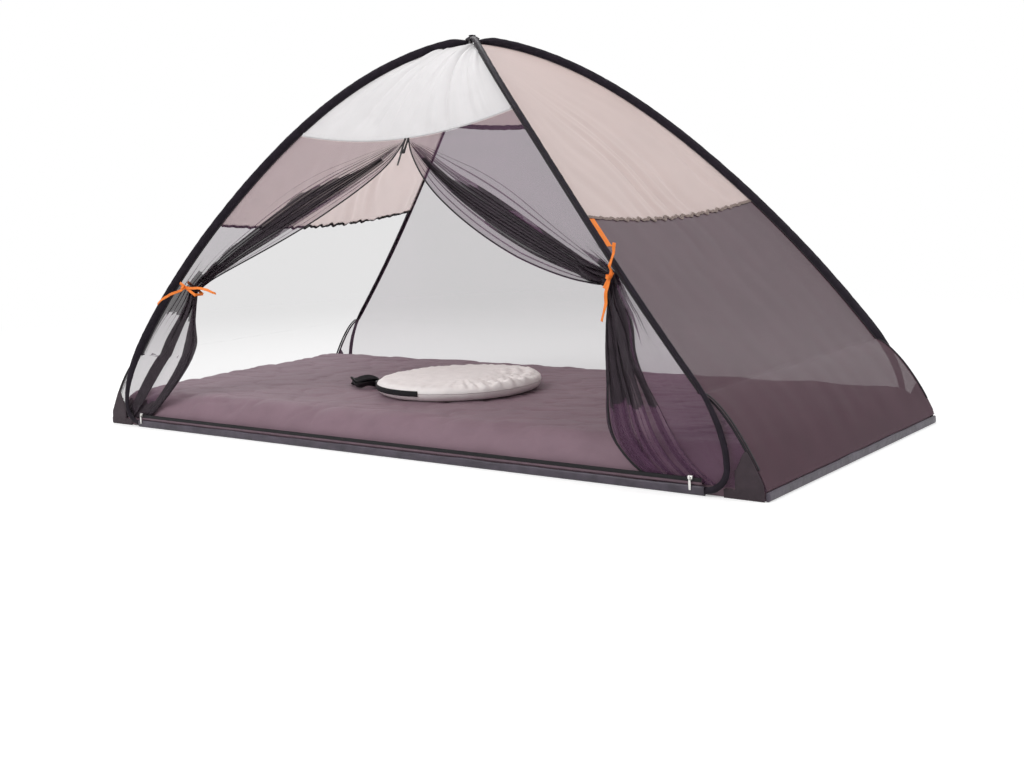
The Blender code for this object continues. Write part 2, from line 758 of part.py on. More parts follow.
def build_curtains(parts):
    for name, shape in curtain_shapes().items():
        shares = [k / CURTAIN_COLUMNS for k in range(CURTAIN_COLUMNS + 1)]
        rows = [[curtain_upper(a, t, shape) for a in shares] for t in UPPER_ROW_shares]
        rows += [[curtain_lower(a, t, shape) for a in shares] for t in LOWER_ROW_shares]
        sheet(f"door_curtain_{name}", rows, CLOTH, "net_dark", parts)


# Base cover

def cover_height_share(distance, width):
    """Height of the cover as a share, at a distance in from its edge."""
    t = min(max(distance / width, 0.0), 1.0)
    return math.sqrt(1 - (1 - t) ** 2)


def edge_spread(half, width, count):
    """Places from the middle to the edge, close together where the cover rounds over."""
    inner = [(half - width) * k / count for k in range(count)]
    return inner + [half - width + width * math.sin(math.radians(a)) for a in COVER_ROUND_deg]


def build_cover(parts):
    half_x = leg_x(1.0) - HEM_BAND_THICK / 2 - GAP - COVER_CLOTH / 2
    half_y = leg_y(1.0) - CLOTH / 2 - GAP - COVER_CLOTH / 2
    xs = edge_spread(half_x, COVER_ROUND_X, COVER_COLUMNS)
    ys = edge_spread(half_y, COVER_ROUND_Y, COVER_ROWS)
    xs = [-x for x in reversed(xs[1:])] + xs
    ys = [-y for y in reversed(ys[1:])] + ys
    rise = COVER_HEIGHT - COVER_FLOOR_GAP - COVER_CLOTH / 2
    rows = []
    for y in ys:
        row = []
        for x in xs:
            along = cover_height_share(half_x - abs(x), COVER_ROUND_X)
            across = cover_height_share(half_y - abs(y), COVER_ROUND_Y)
            row.append(Vector((x, y, COVER_FLOOR_GAP + rise * along * across)))
        rows.append(row)
    sheet("base_cover", rows, COVER_CLOTH, "cover_grey", parts)


# Hems, corners and zips

def build_hems(parts):
    reach = FOOT_X - FOOT_BEND - GAP
    for side, sign in (("front", -1), ("back", 1)):
        stations = []
        for x in (-reach, 0, reach):
            centre = Vector((x, sign * tunnel_y(), HEM_HEIGHT / 2))
            stations.append((centre, Vector((0, 0, 1)), HEM_HEIGHT / 2, TUNNEL_HALF_THICK))
        tunnel(f"hem_{side}", stations, parts)
    half = leg_y(1.0) - EDGE_INSET
    for side, sign in (("right", 1), ("left", -1)):
        block(f"hem_{side}", (sign * leg_x(1.0), 0, HEM_HEIGHT / 2), (HEM_BAND_THICK, 2 * half, HEM_HEIGHT),
              HEM_BAND_THICK / 4, "sleeve_black", parts)


def tunnel(name, stations, parts):
    """A hem tunnel: flat on top and underneath, hollow for the base rod."""
    mesh = bpy.data.meshes.new(name)
    bm = bmesh.new()
    outer = []
    inner = []
    for centre, up, tall, thick in stations:
        for rings, trim in ((outer, 0.0), (inner, TUNNEL_WALL)):
            a = tall - trim
            b = thick - trim
            near_a = CHAMFER_share * a
            near_b = CHAMFER_share * b
            corners = [(a, near_b), (near_a, b), (-near_a, b), (-a, near_b),
                       (-a, -near_b), (-near_a, -b), (near_a, -b), (a, -near_b)]
            rings.append([bm.verts.new(centre + Vector((0, q, p))) for p, q in corners])
    count = len(outer[0])
    for a, b, c, d in zip(outer[:-1], outer[1:], inner[:-1], inner[1:]):
        for k in range(count):
            n = (k + 1) % count
            bm.faces.new((a[k], a[n], b[n], b[k]))
            bm.faces.new((c[n], c[k], d[k], d[n]))
    for ring_out, ring_in in ((outer[0], inner[0]), (outer[-1], inner[-1])):
        for k in range(count):
            n = (k + 1) % count
            bm.faces.new((ring_out[k], ring_out[n], ring_in[n], ring_in[k]))
    bmesh.ops.recalc_face_normals(bm, faces=bm.faces)
    bm.to_mesh(mesh)
    bm.free()
    return add_object(name, mesh, "sleeve_black", parts)


def build_corner_patches(parts):
    """A reinforcing patch at each corner, cut along the corner seam."""
    end_x = leg_x(1.0) - HEM_BAND_THICK / 2 - GAP
    for leg, signs in LEG_SIGNS.items():
        outline = [(PATCH_START_X, 0), (end_x, 0), (end_x, HEM_HEIGHT)]
        for u in PATCH_TOP_shares:
            outline.append((leg_x(u) - 2 * EDGE_INSET, leg_z(u)))
        outline.append((PATCH_START_X, outline[-1][1]))
        outline = [(signs[0] * x, z) for x, z in outline]
        y = signs[1] * (leg_y(1.0) + CLOTH + GAP + PATCH_THICK / 2)
        frame = Matrix.Translation((0, y, 0))
        prism(f"corner_patch_{leg}", outline, PATCH_THICK / 2, "Y", frame, "sleeve_black", parts)


def zip_end():
    return FOOT_X - FOOT_BEND - ZIP_FOOT_CLEARANCE


def zip_centre_z():
    return HEM_HEIGHT + GAP + ZIP_TAPE_HEIGHT


def facing(origin, hang, out):
    """A local frame whose Y points out of the cloth and whose -Z is the way a pull tab hangs."""
    across = hang.cross(out)
    turn = Matrix((across, out, -hang)).transposed().to_4x4()
    return Matrix.Translation(origin) @ turn


def prism(name, outline, half_depth, axis, frame, slot, collection):
    """An outline in the local plane square to an axis, pushed out both ways along it."""
    mesh = bpy.data.meshes.new(name)
    bm = bmesh.new()
    for_axis = {"X": lambda p, q, d: (d, p, q),
                "Y": lambda p, q, d: (p, d, q),
                "Z": lambda p, q, d: (p, q, d)}
    place = for_axis[axis]
    face = bm.faces.new([bm.verts.new(place(p, q, -half_depth)) for p, q in outline])
    pushed = bmesh.ops.extrude_face_region(bm, geom=[face])
    moved = [v for v in pushed["geom"] if isinstance(v, bmesh.types.BMVert)]
    bmesh.ops.translate(bm, vec=place(0, 0, 2 * half_depth), verts=moved)
    bmesh.ops.recalc_face_normals(bm, faces=bm.faces)
    bm.to_mesh(mesh)
    bm.free()
    obj = add_object(name, mesh, slot, collection)
    obj.matrix_world = frame
    return obj


def join(obj, other):
    """Fuse another object's shape to an object."""
    other.hide_render = True
    other.display_type = "WIRE"
    fused = obj.modifiers.new("join", "BOOLEAN")
    fused.operation = "UNION"
    fused.object = other


def bridge_outline(face):
    """The bail on a slider that holds its pull tab, seen from the side."""
    half = BRIDGE_HEIGHT / 2
    reach = face + PULL_STANDOFF + PULL_THICK + GAP
    sunk = face - BRIDGE_BAR
    return [(sunk, half), (reach + BRIDGE_BAR, half), (reach + BRIDGE_BAR, -half), (sunk, -half),
            (sunk, -half + BRIDGE_BAR), (reach, -half + BRIDGE_BAR), (reach, half - BRIDGE_BAR),
            (sunk, half - BRIDGE_BAR)]


def add_bridge(body, face, frame, slot, cutters):
    bail = prism(f"{body.name}_bail", bridge_outline(face), BRIDGE_WIDTH / 2, "X", frame, slot, cutters)
    join(body, bail)


def pull(name, face, length, frame, slot, parts, cutters):
    """A pull tab whose top bar lies inside the bail of its slider; its origin is on that bar."""
    axis = frame @ Matrix.Translation((0, face + PULL_STANDOFF + PULL_THICK / 2, 0))
    top = PULL_THICK / 2
    half = PULL_WIDTH / 2
    narrow = half * PULL_NECK_share
    outline = [(-narrow, top), (narrow, top), (half, -length * PULL_WIDEST_share), (narrow, top - length),
               (-narrow, top - length), (-half, -length * PULL_WIDEST_share)]
    tab = prism(name, outline, PULL_THICK / 2, "Y", axis, slot, parts)
    eye_top = -PULL_BAR
    eye_low = eye_top - PULL_EYE_HEIGHT
    side = PULL_EYE_WIDTH / 2
    eye = prism(f"{name}_eye", [(-side, eye_top), (side, eye_top), (side, eye_low), (-side, eye_low)],
                2 * PULL_THICK, "Y", axis, slot, cutters)
    cut(tab, eye)
    return tab


def hem_slider_outline():
    """Section of a hem slider: closed round the coil and open downwards for the tape."""
    deep = SLIDER_DEPTH / 2
    tall = SLIDER_HEIGHT / 2
    corner = SLIDER_HEIGHT * SLIDER_CORNER_share
    room = COIL_SIZE / 2 + GAP
    slot = ZIP_TAPE_THICK / 2 + GAP
    return [(deep, -tall + corner), (deep, tall - corner), (deep - corner, tall), (-deep + corner, tall),
            (-deep, tall - corner), (-deep, -tall + corner), (-deep + corner, -tall), (-slot, -tall),
            (-slot, -room), (-room, -room), (-room, room), (room, room), (room, -room), (slot, -room),
            (slot, -tall), (deep - corner, -tall)]


def build_hem_zip(parts, cutters):
    y = -tunnel_y()
    low = HEM_HEIGHT + GAP
    size = (2 * zip_end(), ZIP_TAPE_THICK, ZIP_TAPE_HEIGHT)
    tape = block("hem_zip_tape", (0, y, low + ZIP_TAPE_HEIGHT / 2), size, 0, "zip_black", parts)
    coil = block("hem_zip_coil", (0, y, zip_centre_z()), (2 * zip_end(), COIL_SIZE, COIL_SIZE), 0,
                 "zip_black", cutters)
    join(tape, coil)
    face = SLIDER_DEPTH / 2
    for name, x in (("left", SLIDER_LEFT_X), ("right", SLIDER_RIGHT_X)):
        frame = facing(Vector((x, y, zip_centre_z())), Vector((0, 0, -1)), Vector((0, -1, 0)))
        outline = hem_slider_outline()
        body = prism(f"hem_slider_{name}", outline, SLIDER_LENGTH / 2, "X", frame, "slider_silver", parts)
        add_bridge(body, face, frame, "slider_silver", cutters)
        pull(f"hem_pull_{name}", face, PULL_LENGTH, frame, "slider_silver", parts, cutters)


def door_frame():
    """Top point of the door zip and its direction down the front face."""
    u = FRONT_SEAM_share + SEAM_GAP_share
    s = DOOR_X / leg_x(u)
    top = long_face_point(u, s, -1, FRONT_DIP_share, FRONT_SAG)
    tilt = leg_tangent(FRONT_SEAM_share + FRONT_DIP_share, (1, -1))
    down = Vector((0, tilt.y, tilt.z)).normalized()
    return top, down


def door_slider_outline():
    """Section of the door slider: a front plate and a back plate with a web between the tapes."""
    wide = DOOR_SLIDER_WIDTH / 2
    web = DOOR_TAPE_SPLIT / 2 - GAP
    back = DOOR_SPLIT - 2 * GAP
    tape = DOOR_TAPE_THICK / 2 + GAP
    plate = DOOR_PLATE_THICK
    return [(wide, tape), (wide, tape + plate), (-wide, tape + plate), (-wide, tape),
            (-web, tape), (-web, -tape), (-back, -tape), (-back, -tape - plate),
            (back, -tape - plate), (back, -tape), (web, -tape), (web, tape)]


def build_door_zip(parts, cutters):
    top, down = door_frame()
    out = Vector((0, down.z, -down.y))
    lift = CLOTH / 2 + GAP + DOOR_TAPE_THICK / 2
    reach = DOOR_TAPE_LENGTH - DOOR_TAPE_START - SLIDER_LENGTH / 2
    frame = facing(top + down * reach + out * lift, down, out)
    middle = facing(top + down * (DOOR_TAPE_LENGTH / 2 - DOOR_TAPE_START) + out * lift, down, out)
    for name, sign in (("left", -1), ("right", 1)):
        near = sign * DOOR_TAPE_SPLIT / 2
        far = near + sign * DOOR_TAPE_WIDTH
        half = DOOR_TAPE_LENGTH / 2
        outline = [(near, -half), (near, half), (far, half), (far, -half)]
        prism(f"door_zip_tape_{name}", outline, DOOR_TAPE_THICK / 2, "Y", middle, "zip_black", parts)
    face = DOOR_TAPE_THICK / 2 + GAP + DOOR_PLATE_THICK
    body = prism("door_slider", door_slider_outline(), SLIDER_LENGTH / 2, "Z", frame, "slider_black", parts)
    add_bridge(body, face, frame, "slider_black", cutters)
    pull("door_pull", face, DOOR_PULL_LENGTH, frame, "slider_black", parts, cutters)


# Ties and label

def tie_route(near, free, front_y, back_y):
    """The way of a ribbon round the gathered net, open beside the leg."""
    along = Vector((free.x - near.x, 0, free.z - near.z)).normalized()
    start = near + along * BAND_START
    tip = free + along * BAND_END_CLEARANCE
    turn = tip - along * BAND_TURN
    route = [(start, front_y), (turn, front_y), (tip, front_y + BAND_TURN), (tip, back_y - BAND_TURN),
             (turn, back_y), (start, back_y)]
    points = [Vector((p.x, y, p.z)) for p, y in route]
    return points, [Vector((along.z, 0, -along.x))] * len(points)


def tie_tail(name, start, front_y, side, bearing, length, layer, lift, parts):
    """A ribbon end that leaves the knot and lies in front of the net, or over the sleeve when lifted."""
    way = Vector((side * math.cos(math.radians(bearing)), 0, math.sin(math.radians(bearing))))
    points = []
    for k in range(TAIL_STEPS + 1):
        t = k / TAIL_STEPS
        x = start.x + way.x * length * t
        z = start.z + way.z * length * t - TAIL_DROOP * t * t
        y = min(front_y, -leg_y(leg_share_at(z)) - BAND_CLEARANCE)
        y -= (RIBBON_THICK + GAP) * layer + lift * smooth((t - TAIL_LEVEL_share) / TAIL_CLIMB_share)
        points.append(Vector((x, y, z)))
    sides = [Vector((-way.z, 0, way.x))] * len(points)
    strip(name, points, sides, RIBBON_WIDTH, RIBBON_THICK, "ribbon_orange", parts)


def build_ties(parts):
    """Each tie is a ribbon round the gathered net with a knot and two tails in front."""
    tails = {"right": ((TAIL_RIGHT_UP_deg, TAIL_RIGHT_UP, TAIL_OVER_SLEEVE),
                       (TAIL_RIGHT_DOWN_deg, TAIL_RIGHT_DOWN, TAIL_LIFT)),
             "left": ((TAIL_LEFT_IN_deg, TAIL_LEFT_IN, TAIL_LIFT),
                      (TAIL_LEFT_OUT_deg, TAIL_LEFT_OUT, TAIL_OVER_SLEEVE))}
    for name, shape in curtain_shapes().items():
        near = curtain_knot(0, shape)
        free = curtain_knot(1, shape)
        front_y = -leg_y(leg_share_at(free.z - RIBBON_WIDTH)) - BAND_CLEARANCE
        back_y = max(near.y, free.y) + BUNDLE_DEPTH + BAND_CLEARANCE
        points, sides = tie_route(near, free, front_y, back_y)
        strip(f"tie_{name}_band", points, sides, RIBBON_WIDTH, RIBBON_THICK, "ribbon_orange", parts)
        middle = (near + free) / 2
        for layer, label in ((1, "upper"), (2, "lower")):
            bearing, length, lift = tails[name][layer - 1]
            tail = f"tie_{name}_tail_{label}"
            tie_tail(tail, middle, front_y, shape["side"], bearing, length, layer, lift, parts)
        step = RIBBON_THICK + GAP
        knot_y = front_y - 2 * step - RIBBON_THICK / 2 - GAP - KNOT_SIZE / 2
        size = (KNOT_SIZE * KNOT_LONG_share, KNOT_SIZE, KNOT_SIZE)
        block(f"tie_{name}_knot", (middle.x, knot_y, middle.z), size, KNOT_SIZE / 4, "ribbon_orange", parts)


def build_label(parts):
    """The blank tab in the seam of the front right leg."""
    rows = []
    for k in range(5):
        u = mix(LABEL_TOP_share, LABEL_END_share, k / 4)
        row = []
        for j in range(2):
            inward = EDGE_INSET + LABEL_STANDOFF + LABEL_WIDTH * j
            row.append(Vector((leg_x(u) + LABEL_STANDOFF, -leg_y(u) + inward, leg_z(u))))
        rows.append(row)
    sheet("label_tab", rows, LABEL_THICK, "ribbon_orange", parts)


# Storage bag

def bag_base():
    return COVER_HEIGHT + GAP


def build_bag(parts, cutters):
    base = bag_base()
    mesh = bpy.data.meshes.new("bag_shell")
    bm = bmesh.new()
    rim = BAG_RADIUS - BAG_RIM_RADIUS
    low = BAG_THICK / 2 - BAG_RIM_RADIUS
    top = BAG_THICK / 2
    shoulder = top - BAG_THICK * BAG_CROWN_share
    profile = [(0, top), (rim * BAG_FLAT_share, top), (rim * BAG_EDGE_share, shoulder)]
    for angle in BAG_RIM_deg:
        a = math.radians(angle)
        lift = low * (1 if angle > 0 else -1)
        height = lift * BAG_WAIST_share + BAG_RIM_RADIUS * math.sin(a)
        profile.append((rim + BAG_RIM_RADIUS * math.cos(a), height))
    profile += [(rim * BAG_EDGE_share, -top), (0, -top)]
    verts = [bm.verts.new((r, 0, z)) for r, z in profile]
    for a, b in zip(verts[:-1], verts[1:]):
        bm.edges.new((a, b))
    bm.to_mesh(mesh)
    bm.free()
    bag = add_object("bag_shell", mesh, "bag_cream", parts)
    bag.location = (BAG_CENTRE_X, BAG_CENTRE_Y, base + BAG_THICK / 2)
    turn = bag.modifiers.new("turn", "SCREW")
    turn.axis = "Z"
    turn.steps = BAG_STEPS
    turn.render_steps = BAG_STEPS
    turn.use_merge_vertices = True
    turn.merge_threshold = MERGE_DISTANCE
    build_bag_zip(parts, cutters, base + BAG_THICK / 2)
    strap_x = BAG_CENTRE_X - BAG_RADIUS - BAG_TAPE_THICK - BAG_SLIDER_THICK - 4 * GAP - STRAP_LENGTH / 2
    block("bag_strap", (strap_x, BAG_CENTRE_Y - STRAP_WIDTH * STRAP_PLACE_share, base + STRAP_THICK / 2),
          (STRAP_LENGTH, STRAP_WIDTH, STRAP_THICK), STRAP_BEVEL, "zip_black", parts,
          rotation=(0, 0, math.radians(STRAP_TURN_deg)))


def build_bag_zip(parts, cutters, middle):
    radius = BAG_RADIUS + GAP + BAG_TAPE_THICK / 2
    points = []
    sides = []
    steps = 18
    for k in range(steps + 1):
        angle = math.radians(mix(BAG_TAPE_START_deg, BAG_TAPE_END_deg, k / steps))
        away = Vector((math.cos(angle), math.sin(angle), 0)) * radius
        points.append(Vector((BAG_CENTRE_X, BAG_CENTRE_Y, middle)) + away)
        sides.append(Vector((0, 0, 1)))
    strip("bag_zip_tape", points, sides, BAG_TAPE_WIDTH, BAG_TAPE_THICK, "zip_black", parts)
    angle = math.radians(BAG_SLIDER_deg)
    out = Vector((math.cos(angle), math.sin(angle), 0))
    reach = radius + BAG_TAPE_THICK / 2 + GAP + BAG_SLIDER_THICK / 2
    frame = facing(Vector((BAG_CENTRE_X, BAG_CENTRE_Y, middle)) + out * reach, Vector((0, 0, -1)), out)
    face = BAG_SLIDER_THICK / 2
    tall = BAG_SLIDER_WIDTH / 2
    corner = face * SLIDER_CORNER_share
    outline = [(face, -tall + corner), (face, tall - corner), (face - corner, tall),
               (-face, tall), (-face, -tall), (face - corner, -tall)]
    body = prism("bag_slider", outline, BAG_SLIDER_LENGTH / 2, "X", frame, "slider_silver", parts)
    add_bridge(body, face, frame, "slider_silver", cutters)
    pull("bag_pull", face, BAG_PULL_LENGTH, frame, "slider_silver", parts, cutters)


def main():
    clear_scene()
    parts = make_collection("mosquito_net_tent")
    cutters = make_collection("cutters")
    build_rods(parts)
    build_sleeves(parts)
    build_apex(parts)
    build_panels(parts)
    build_curtains(parts)
    build_cover(parts)
    build_hems(parts)
    build_corner_patches(parts)
    build_hem_zip(parts, cutters)
    build_door_zip(parts, cutters)
    build_ties(parts)
    build_label(parts)
    build_bag(parts, cutters)


main()
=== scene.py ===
"""Looks of the pop-up mosquito net tent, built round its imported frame."""
import math

import bmesh
import bpy
import numpy as np
from mathutils import Matrix, Vector, noise


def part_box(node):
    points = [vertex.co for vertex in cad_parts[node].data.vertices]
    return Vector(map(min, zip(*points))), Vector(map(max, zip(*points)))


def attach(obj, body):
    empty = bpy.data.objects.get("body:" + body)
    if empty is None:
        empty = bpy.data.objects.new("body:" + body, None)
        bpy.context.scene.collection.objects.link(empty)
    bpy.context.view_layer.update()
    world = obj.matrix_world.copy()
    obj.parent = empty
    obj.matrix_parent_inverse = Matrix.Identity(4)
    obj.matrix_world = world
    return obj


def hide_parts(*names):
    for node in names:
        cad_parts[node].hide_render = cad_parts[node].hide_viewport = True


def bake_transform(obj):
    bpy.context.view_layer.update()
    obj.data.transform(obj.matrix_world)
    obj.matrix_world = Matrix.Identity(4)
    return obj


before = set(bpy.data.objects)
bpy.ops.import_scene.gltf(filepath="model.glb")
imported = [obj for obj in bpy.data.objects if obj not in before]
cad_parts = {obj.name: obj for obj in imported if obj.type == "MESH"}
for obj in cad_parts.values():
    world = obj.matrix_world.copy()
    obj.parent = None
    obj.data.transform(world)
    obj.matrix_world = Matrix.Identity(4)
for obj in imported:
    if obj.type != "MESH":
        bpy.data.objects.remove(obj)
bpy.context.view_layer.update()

FRONT = "front_half"
BACK = "back_half"

# Shape of the legs, as in the frame: shares from the crossing (0) to the corner (1), lengths in metres
HALF_LENGTH = 1.000
HALF_WIDTH = 0.438
SEAM_HEIGHT = 0.981
LEG_POWER_share = 1.596
LENGTH_BOW_share = 0.040
WIDTH_BOW_share = 0.304
WIDTH_RIPPLE_share = 0.019
SKIRT_START_share = 0.88
SKIRT_FULL_share = 0.70
SKIRT_FLARE = 0.011
SKIRT_BULGE = 0.030
HEM_HEIGHT = 0.020
GAP = 0.0003
CLOTH = 0.0010
EDGE_INSET = 0.0009
TANGENT_STEP_share = 0.002

# Sleeves
SLEEVE_HALF_WIDE = 0.010
SLEEVE_HALF_THIN = 0.0045
CROSSING_HALF_WIDE = 0.0080
CROSSING_HALF_THIN = 0.0042
CROSSING_REACH_share = 0.045
FIRST_STEP_share = 0.01
SEAM_STANDOFF = 0.0014
CROSSING_HOLD_BACK = 0.010
FOOT_START_share = 0.86
FOOT_X = 0.922
FOOT_BEND = 0.050
FOOT_EASE = 0.060
TUNNEL_OFFSET = 0.0075
FOOT_HALF_WIDE = 0.0062
SLEEVE_SIDES = 20
SLEEVE_WRINKLE = 0.0007
BINDING_WIDTH = 0.0070
BINDING_LIFT = 0.0009
BINDING_ROUGH = 0.0003
TAPE_THICK = 0.0008

# Panels and nets
PANEL_TOP_share = 0.0135
FRONT_SEAM_share = 0.375
FRONT_DIP_share = 0.045
FRONT_TILT_share = 0.014
BACK_SEAM_share = 0.355
BACK_DIP_share = 0.030
END_SEAM_share = 0.607
END_DIP_share = 0.020
FRONT_SAG = 0.012
BACK_SAG = 0.035
END_SAG = 0.030
SAG_END_share = 0.90
SEAM_GAP_share = 0.0006
PANEL_THICK = 0.0005
PUCKER_LONG = 0.046
PUCKER_SHORT = 0.027
PUCKER_REACH_share = 0.020
END_PUCKER_share = 0.0035
BACK_PUCKER_share = 0.0012
RIM_share = 0.05
NET_RIM_share = 0.04
END_FOLD = 0.0036
END_WAVE = 0.0030
END_NET_WAVE = 0.0020
END_NET_FOLD_share = 0.22
BACK_FOLD = 0.0022
BACK_NET_FOLD = 0.0025

# Folds of the white panel that run down from near the crossing: angle and width in radians, depth
RAYS_Z = 1.05
WHITE_CREASES = ((-0.62, 0.05, 0.003), (-0.38, 0.06, -0.0035), (-0.12, 0.045, 0.0022), (0.10, 0.05, -0.003),
                 (0.30, 0.06, 0.0040), (0.42, 0.03, -0.0035), (0.52, 0.045, 0.0035), (0.66, 0.03, -0.003),
                 (0.76, 0.03, 0.0025))

# Uneven cloth, in layers of noise: height, stretch along x, y and z, scale, seed
EVEN = (1.0, 1.0, 1.0)
RAY_WAVES = ((0.0046, EVEN, 1.0, 21), (0.0030, (2.6, 2.0, 1.0), 1.0, 22))
WHITE_WAVES = ((0.0024, (1.0, 1.0, 2.2), 7.0, 1), (0.0012, EVEN, 26.0, 2))
BACK_WAVES = ((0.0025, EVEN, 8.0, 5),)
BACK_NET_WAVES = ((0.0030, EVEN, 5.0, 13),)
COVER_WAVES = ((0.0030, (1.0, 2.6, 1.0), 5.0, 21),)
COVER_STREAKS = ((0.0021, EVEN, 7.0, 27),)
HEM_WAVES = ((0.0006, EVEN, 30.0, 31), (0.0003, EVEN, 130.0, 32))

# Sewn bands along the seams: width, height over the cloth, thickness
OUTER_BAND = (0.0075, 0.0014, 0.0010)
END_INNER_BAND = (0.0065, -0.0016, 0.0012)
BACK_INNER_BAND = (0.0140, -0.0016, 0.0012)
FRONT_BAND = (0.0090, 0.0012, 0.0010)
BAND_SPAN_share = 0.985
FRONT_BAND_DROP_share = -0.006
BAND_PUCKER = 0.0006
BAND_PUCKER_LENGTH = 0.009
STITCH_LIFT = 0.0022
STITCH_PITCH = 0.0042
STITCH_LENGTH = 0.0028
STITCH_RADIUS = 0.00032

# Door and curtains; a share across runs from the sewn edge (0) to the free edge (1)
DOOR_X = 0.015
DOOR_SPLIT = 0.0036
BUNDLE_RISE = 0.030
BUNDLE_DEPTH = 0.018
FOLD_DEPTH = 0.012
GATHER_START_share = 0.12
SEWN_share = 0.25
SLACK_POWER_share = 1.5
LEAD_X_share = 0.12
LEAD_Z_share = 0.49
TRAIL_X_share = 0.19
FALL_BLEND = 0.150
BUNCH_POWER_share = 2.5
BUNCH_REACH_share = 0.55
EDGE_CROWD_share = 0.12
FINE_FOLDS = 15
SEWN_COLUMNS_share = 0.36
BAND_COLUMNS_share = 0.86
BAND_END_share = 0.70
FAN_PLACES_share = (-1.0, -0.30, 0.0, BAND_END_share, 1.0)
FAN_FOLDS = (0.0, 1.0, 3.6, 11.6, 13.4)
FAN_DEPTH = 0.005
BAND_DEPTH = 0.011
FAN_WAVE = 0.020
SAG_FADE = 0.16
BUNCH_FADE = 0.16
CURTAIN_COLUMNS = 420
UPPER_ROWS = 130
LOWER_ROWS = 90
ROOM_START = 0.024
ROOM_share = 0.26
FALL_TOP = 0.30
FALL_SPREAD = 0.22
CALM_TOP = 0.36
CALM_SPREAD = 0.22
EDGE_TAPE_WIDTH = 0.0035
EDGE_TAPE_STEP = 0.0005
SHAPES = {
    "right": {"side": 1, "knot_z": SEAM_HEIGHT * 0.418, "trail_z": -0.07, "seed": 2,
              "fall_x": 0.645, "foot_x": 0.742, "sweep_top": 0.170, "power": 2.8,
              "fall_width": 0.062, "fall_low": 0.150, "flat": 0.35, "pull_rise": 0.004,
              "strands": 5, "dense_strand": -0.35, "drift": 0.40, "broad": 1.0, "calm": 1.0},
    "left": {"side": -1, "knot_z": SEAM_HEIGHT * 0.379, "trail_z": 0.22, "seed": 5,
             "fall_x": 0.643, "foot_x": 0.848, "sweep_top": 0.250, "power": 1.5,
             "fall_width": 0.260, "fall_low": 0.260, "flat": 0.06, "pull_rise": 0.034,
             "strands": 2, "dense_strand": 0.25, "drift": 0.12, "broad": 0.25, "calm": 0.0},
}

# Cover, hems and corners
COVER_HEIGHT = 0.095
COVER_CLOTH = 0.0020
COVER_SHELL = 0.0014
COVER_ROUND = 0.070
COVER_FLOOR_GAP = 0.0010
COVER_CREASE = 0.0040
COVER_STREAK = 0.0026
COVER_RUFFLE = 0.0025
COVER_RIM = 0.02
RUFFLE_REACH = 0.12
COVER_SINK = 0.001
STREAK_DEGREES = 16
HEM_BAND_THICK = 0.0080
HEM_EASE_START = 0.002
HEM_EASE = 0.004
PATCH_LENGTH = 0.0655
PATCH_START_X = HALF_LENGTH - PATCH_LENGTH
EDGE_LAP = 0.012
EDGE_START_X = FOOT_X - EDGE_LAP
EDGE_OVERLAP = 0.004
EDGE_END_X = PATCH_START_X + EDGE_OVERLAP
EDGE_THICK = 0.0016
EDGE_RUFFLE = 0.0010
EDGE_RUFFLE_LENGTH = 0.011
APEX_LIFT = 0.0008
APEX_DROP = 0.0125
APEX_ROUGH = 0.0004
APEX_THICK = 0.0012

# Ribbons
RIBBON_WIDTH = 0.008
RIBBON_THICK = 0.0010
RIBBON_CUP = 0.0004
RIBBON_FRAY = 0.0002
BAND_CLEARANCE = 0.0014
BAND_START = 0.006
BAND_END_CLEARANCE = 0.0100
BAND_TURN = 0.0020
BAND_BOW = 0.0004
KNOT_SIZE = 0.010
KNOT_ROUGH = 0.0005
TAIL_DROOP = 0.004
TAIL_WAVE = 0.0030
TAIL_BEND = 0.0035
TAIL_LEVEL_share = 0.14
TAIL_CLIMB_share = 0.22
# Bearing in degrees, length and height over the band of each loose end
TAILS = {"right": {"upper": (68, 0.080, 0.018), "lower": (-100, 0.088, 0.002)},
         "left": {"upper": (183, 0.126, 0.002), "lower": (-24, 0.100, 0.018)}}
LABEL_SPAN_shares = (0.612, 0.661)
LABEL_WIDTH = 0.016
LABEL_STANDOFF = 0.0022
LABEL_CURL = 0.0095
LABEL_ROUGH = 0.0006

# Zips
COIL_SIZE = 0.0030
COIL_PITCH = 0.0024
STRIP_THICK = 0.0009
STRIP_BENDS = ((0.0003, 0.05, 0), (0.0004, 0.031, 1))
HEM_TAPE_THICK = 0.0006
DOOR_TAPE_WAVE = 0.0003
DOOR_COIL_RADIUS = 0.0007
DOOR_COIL_PITCH = 0.0020

# Storage bag and strap
BAG_SINK = 0.0008
BAG_SOFT = 0.0016
BAG_FINE = 0.0009
BAG_FOLD = 0.0026
BAG_CROSS = 0.0022
BAG_TAPE_INSET = 0.0007
BAG_COIL_LIFT = 0.0004
BAG_COIL_RADIUS = 0.0011
BAG_COIL_PITCH = 0.0022
BAG_TAPE_CUP = -0.0003
STRAP_LOOPS = 4.5
STRAP_DEGREES = -12
STRAP_HALF_LONG = 0.050
STRAP_HALF_WIDE = 0.027
STRAP_STRAY = (0.006, 0.004)
STRAP_BASE = 0.0085
STRAP_RISE = 0.0080
STRAP_WAVE = 0.0030
STRAP_WIDTH = 0.0180
STRAP_THICK = 0.0014
STRAP_CUP = 0.0008

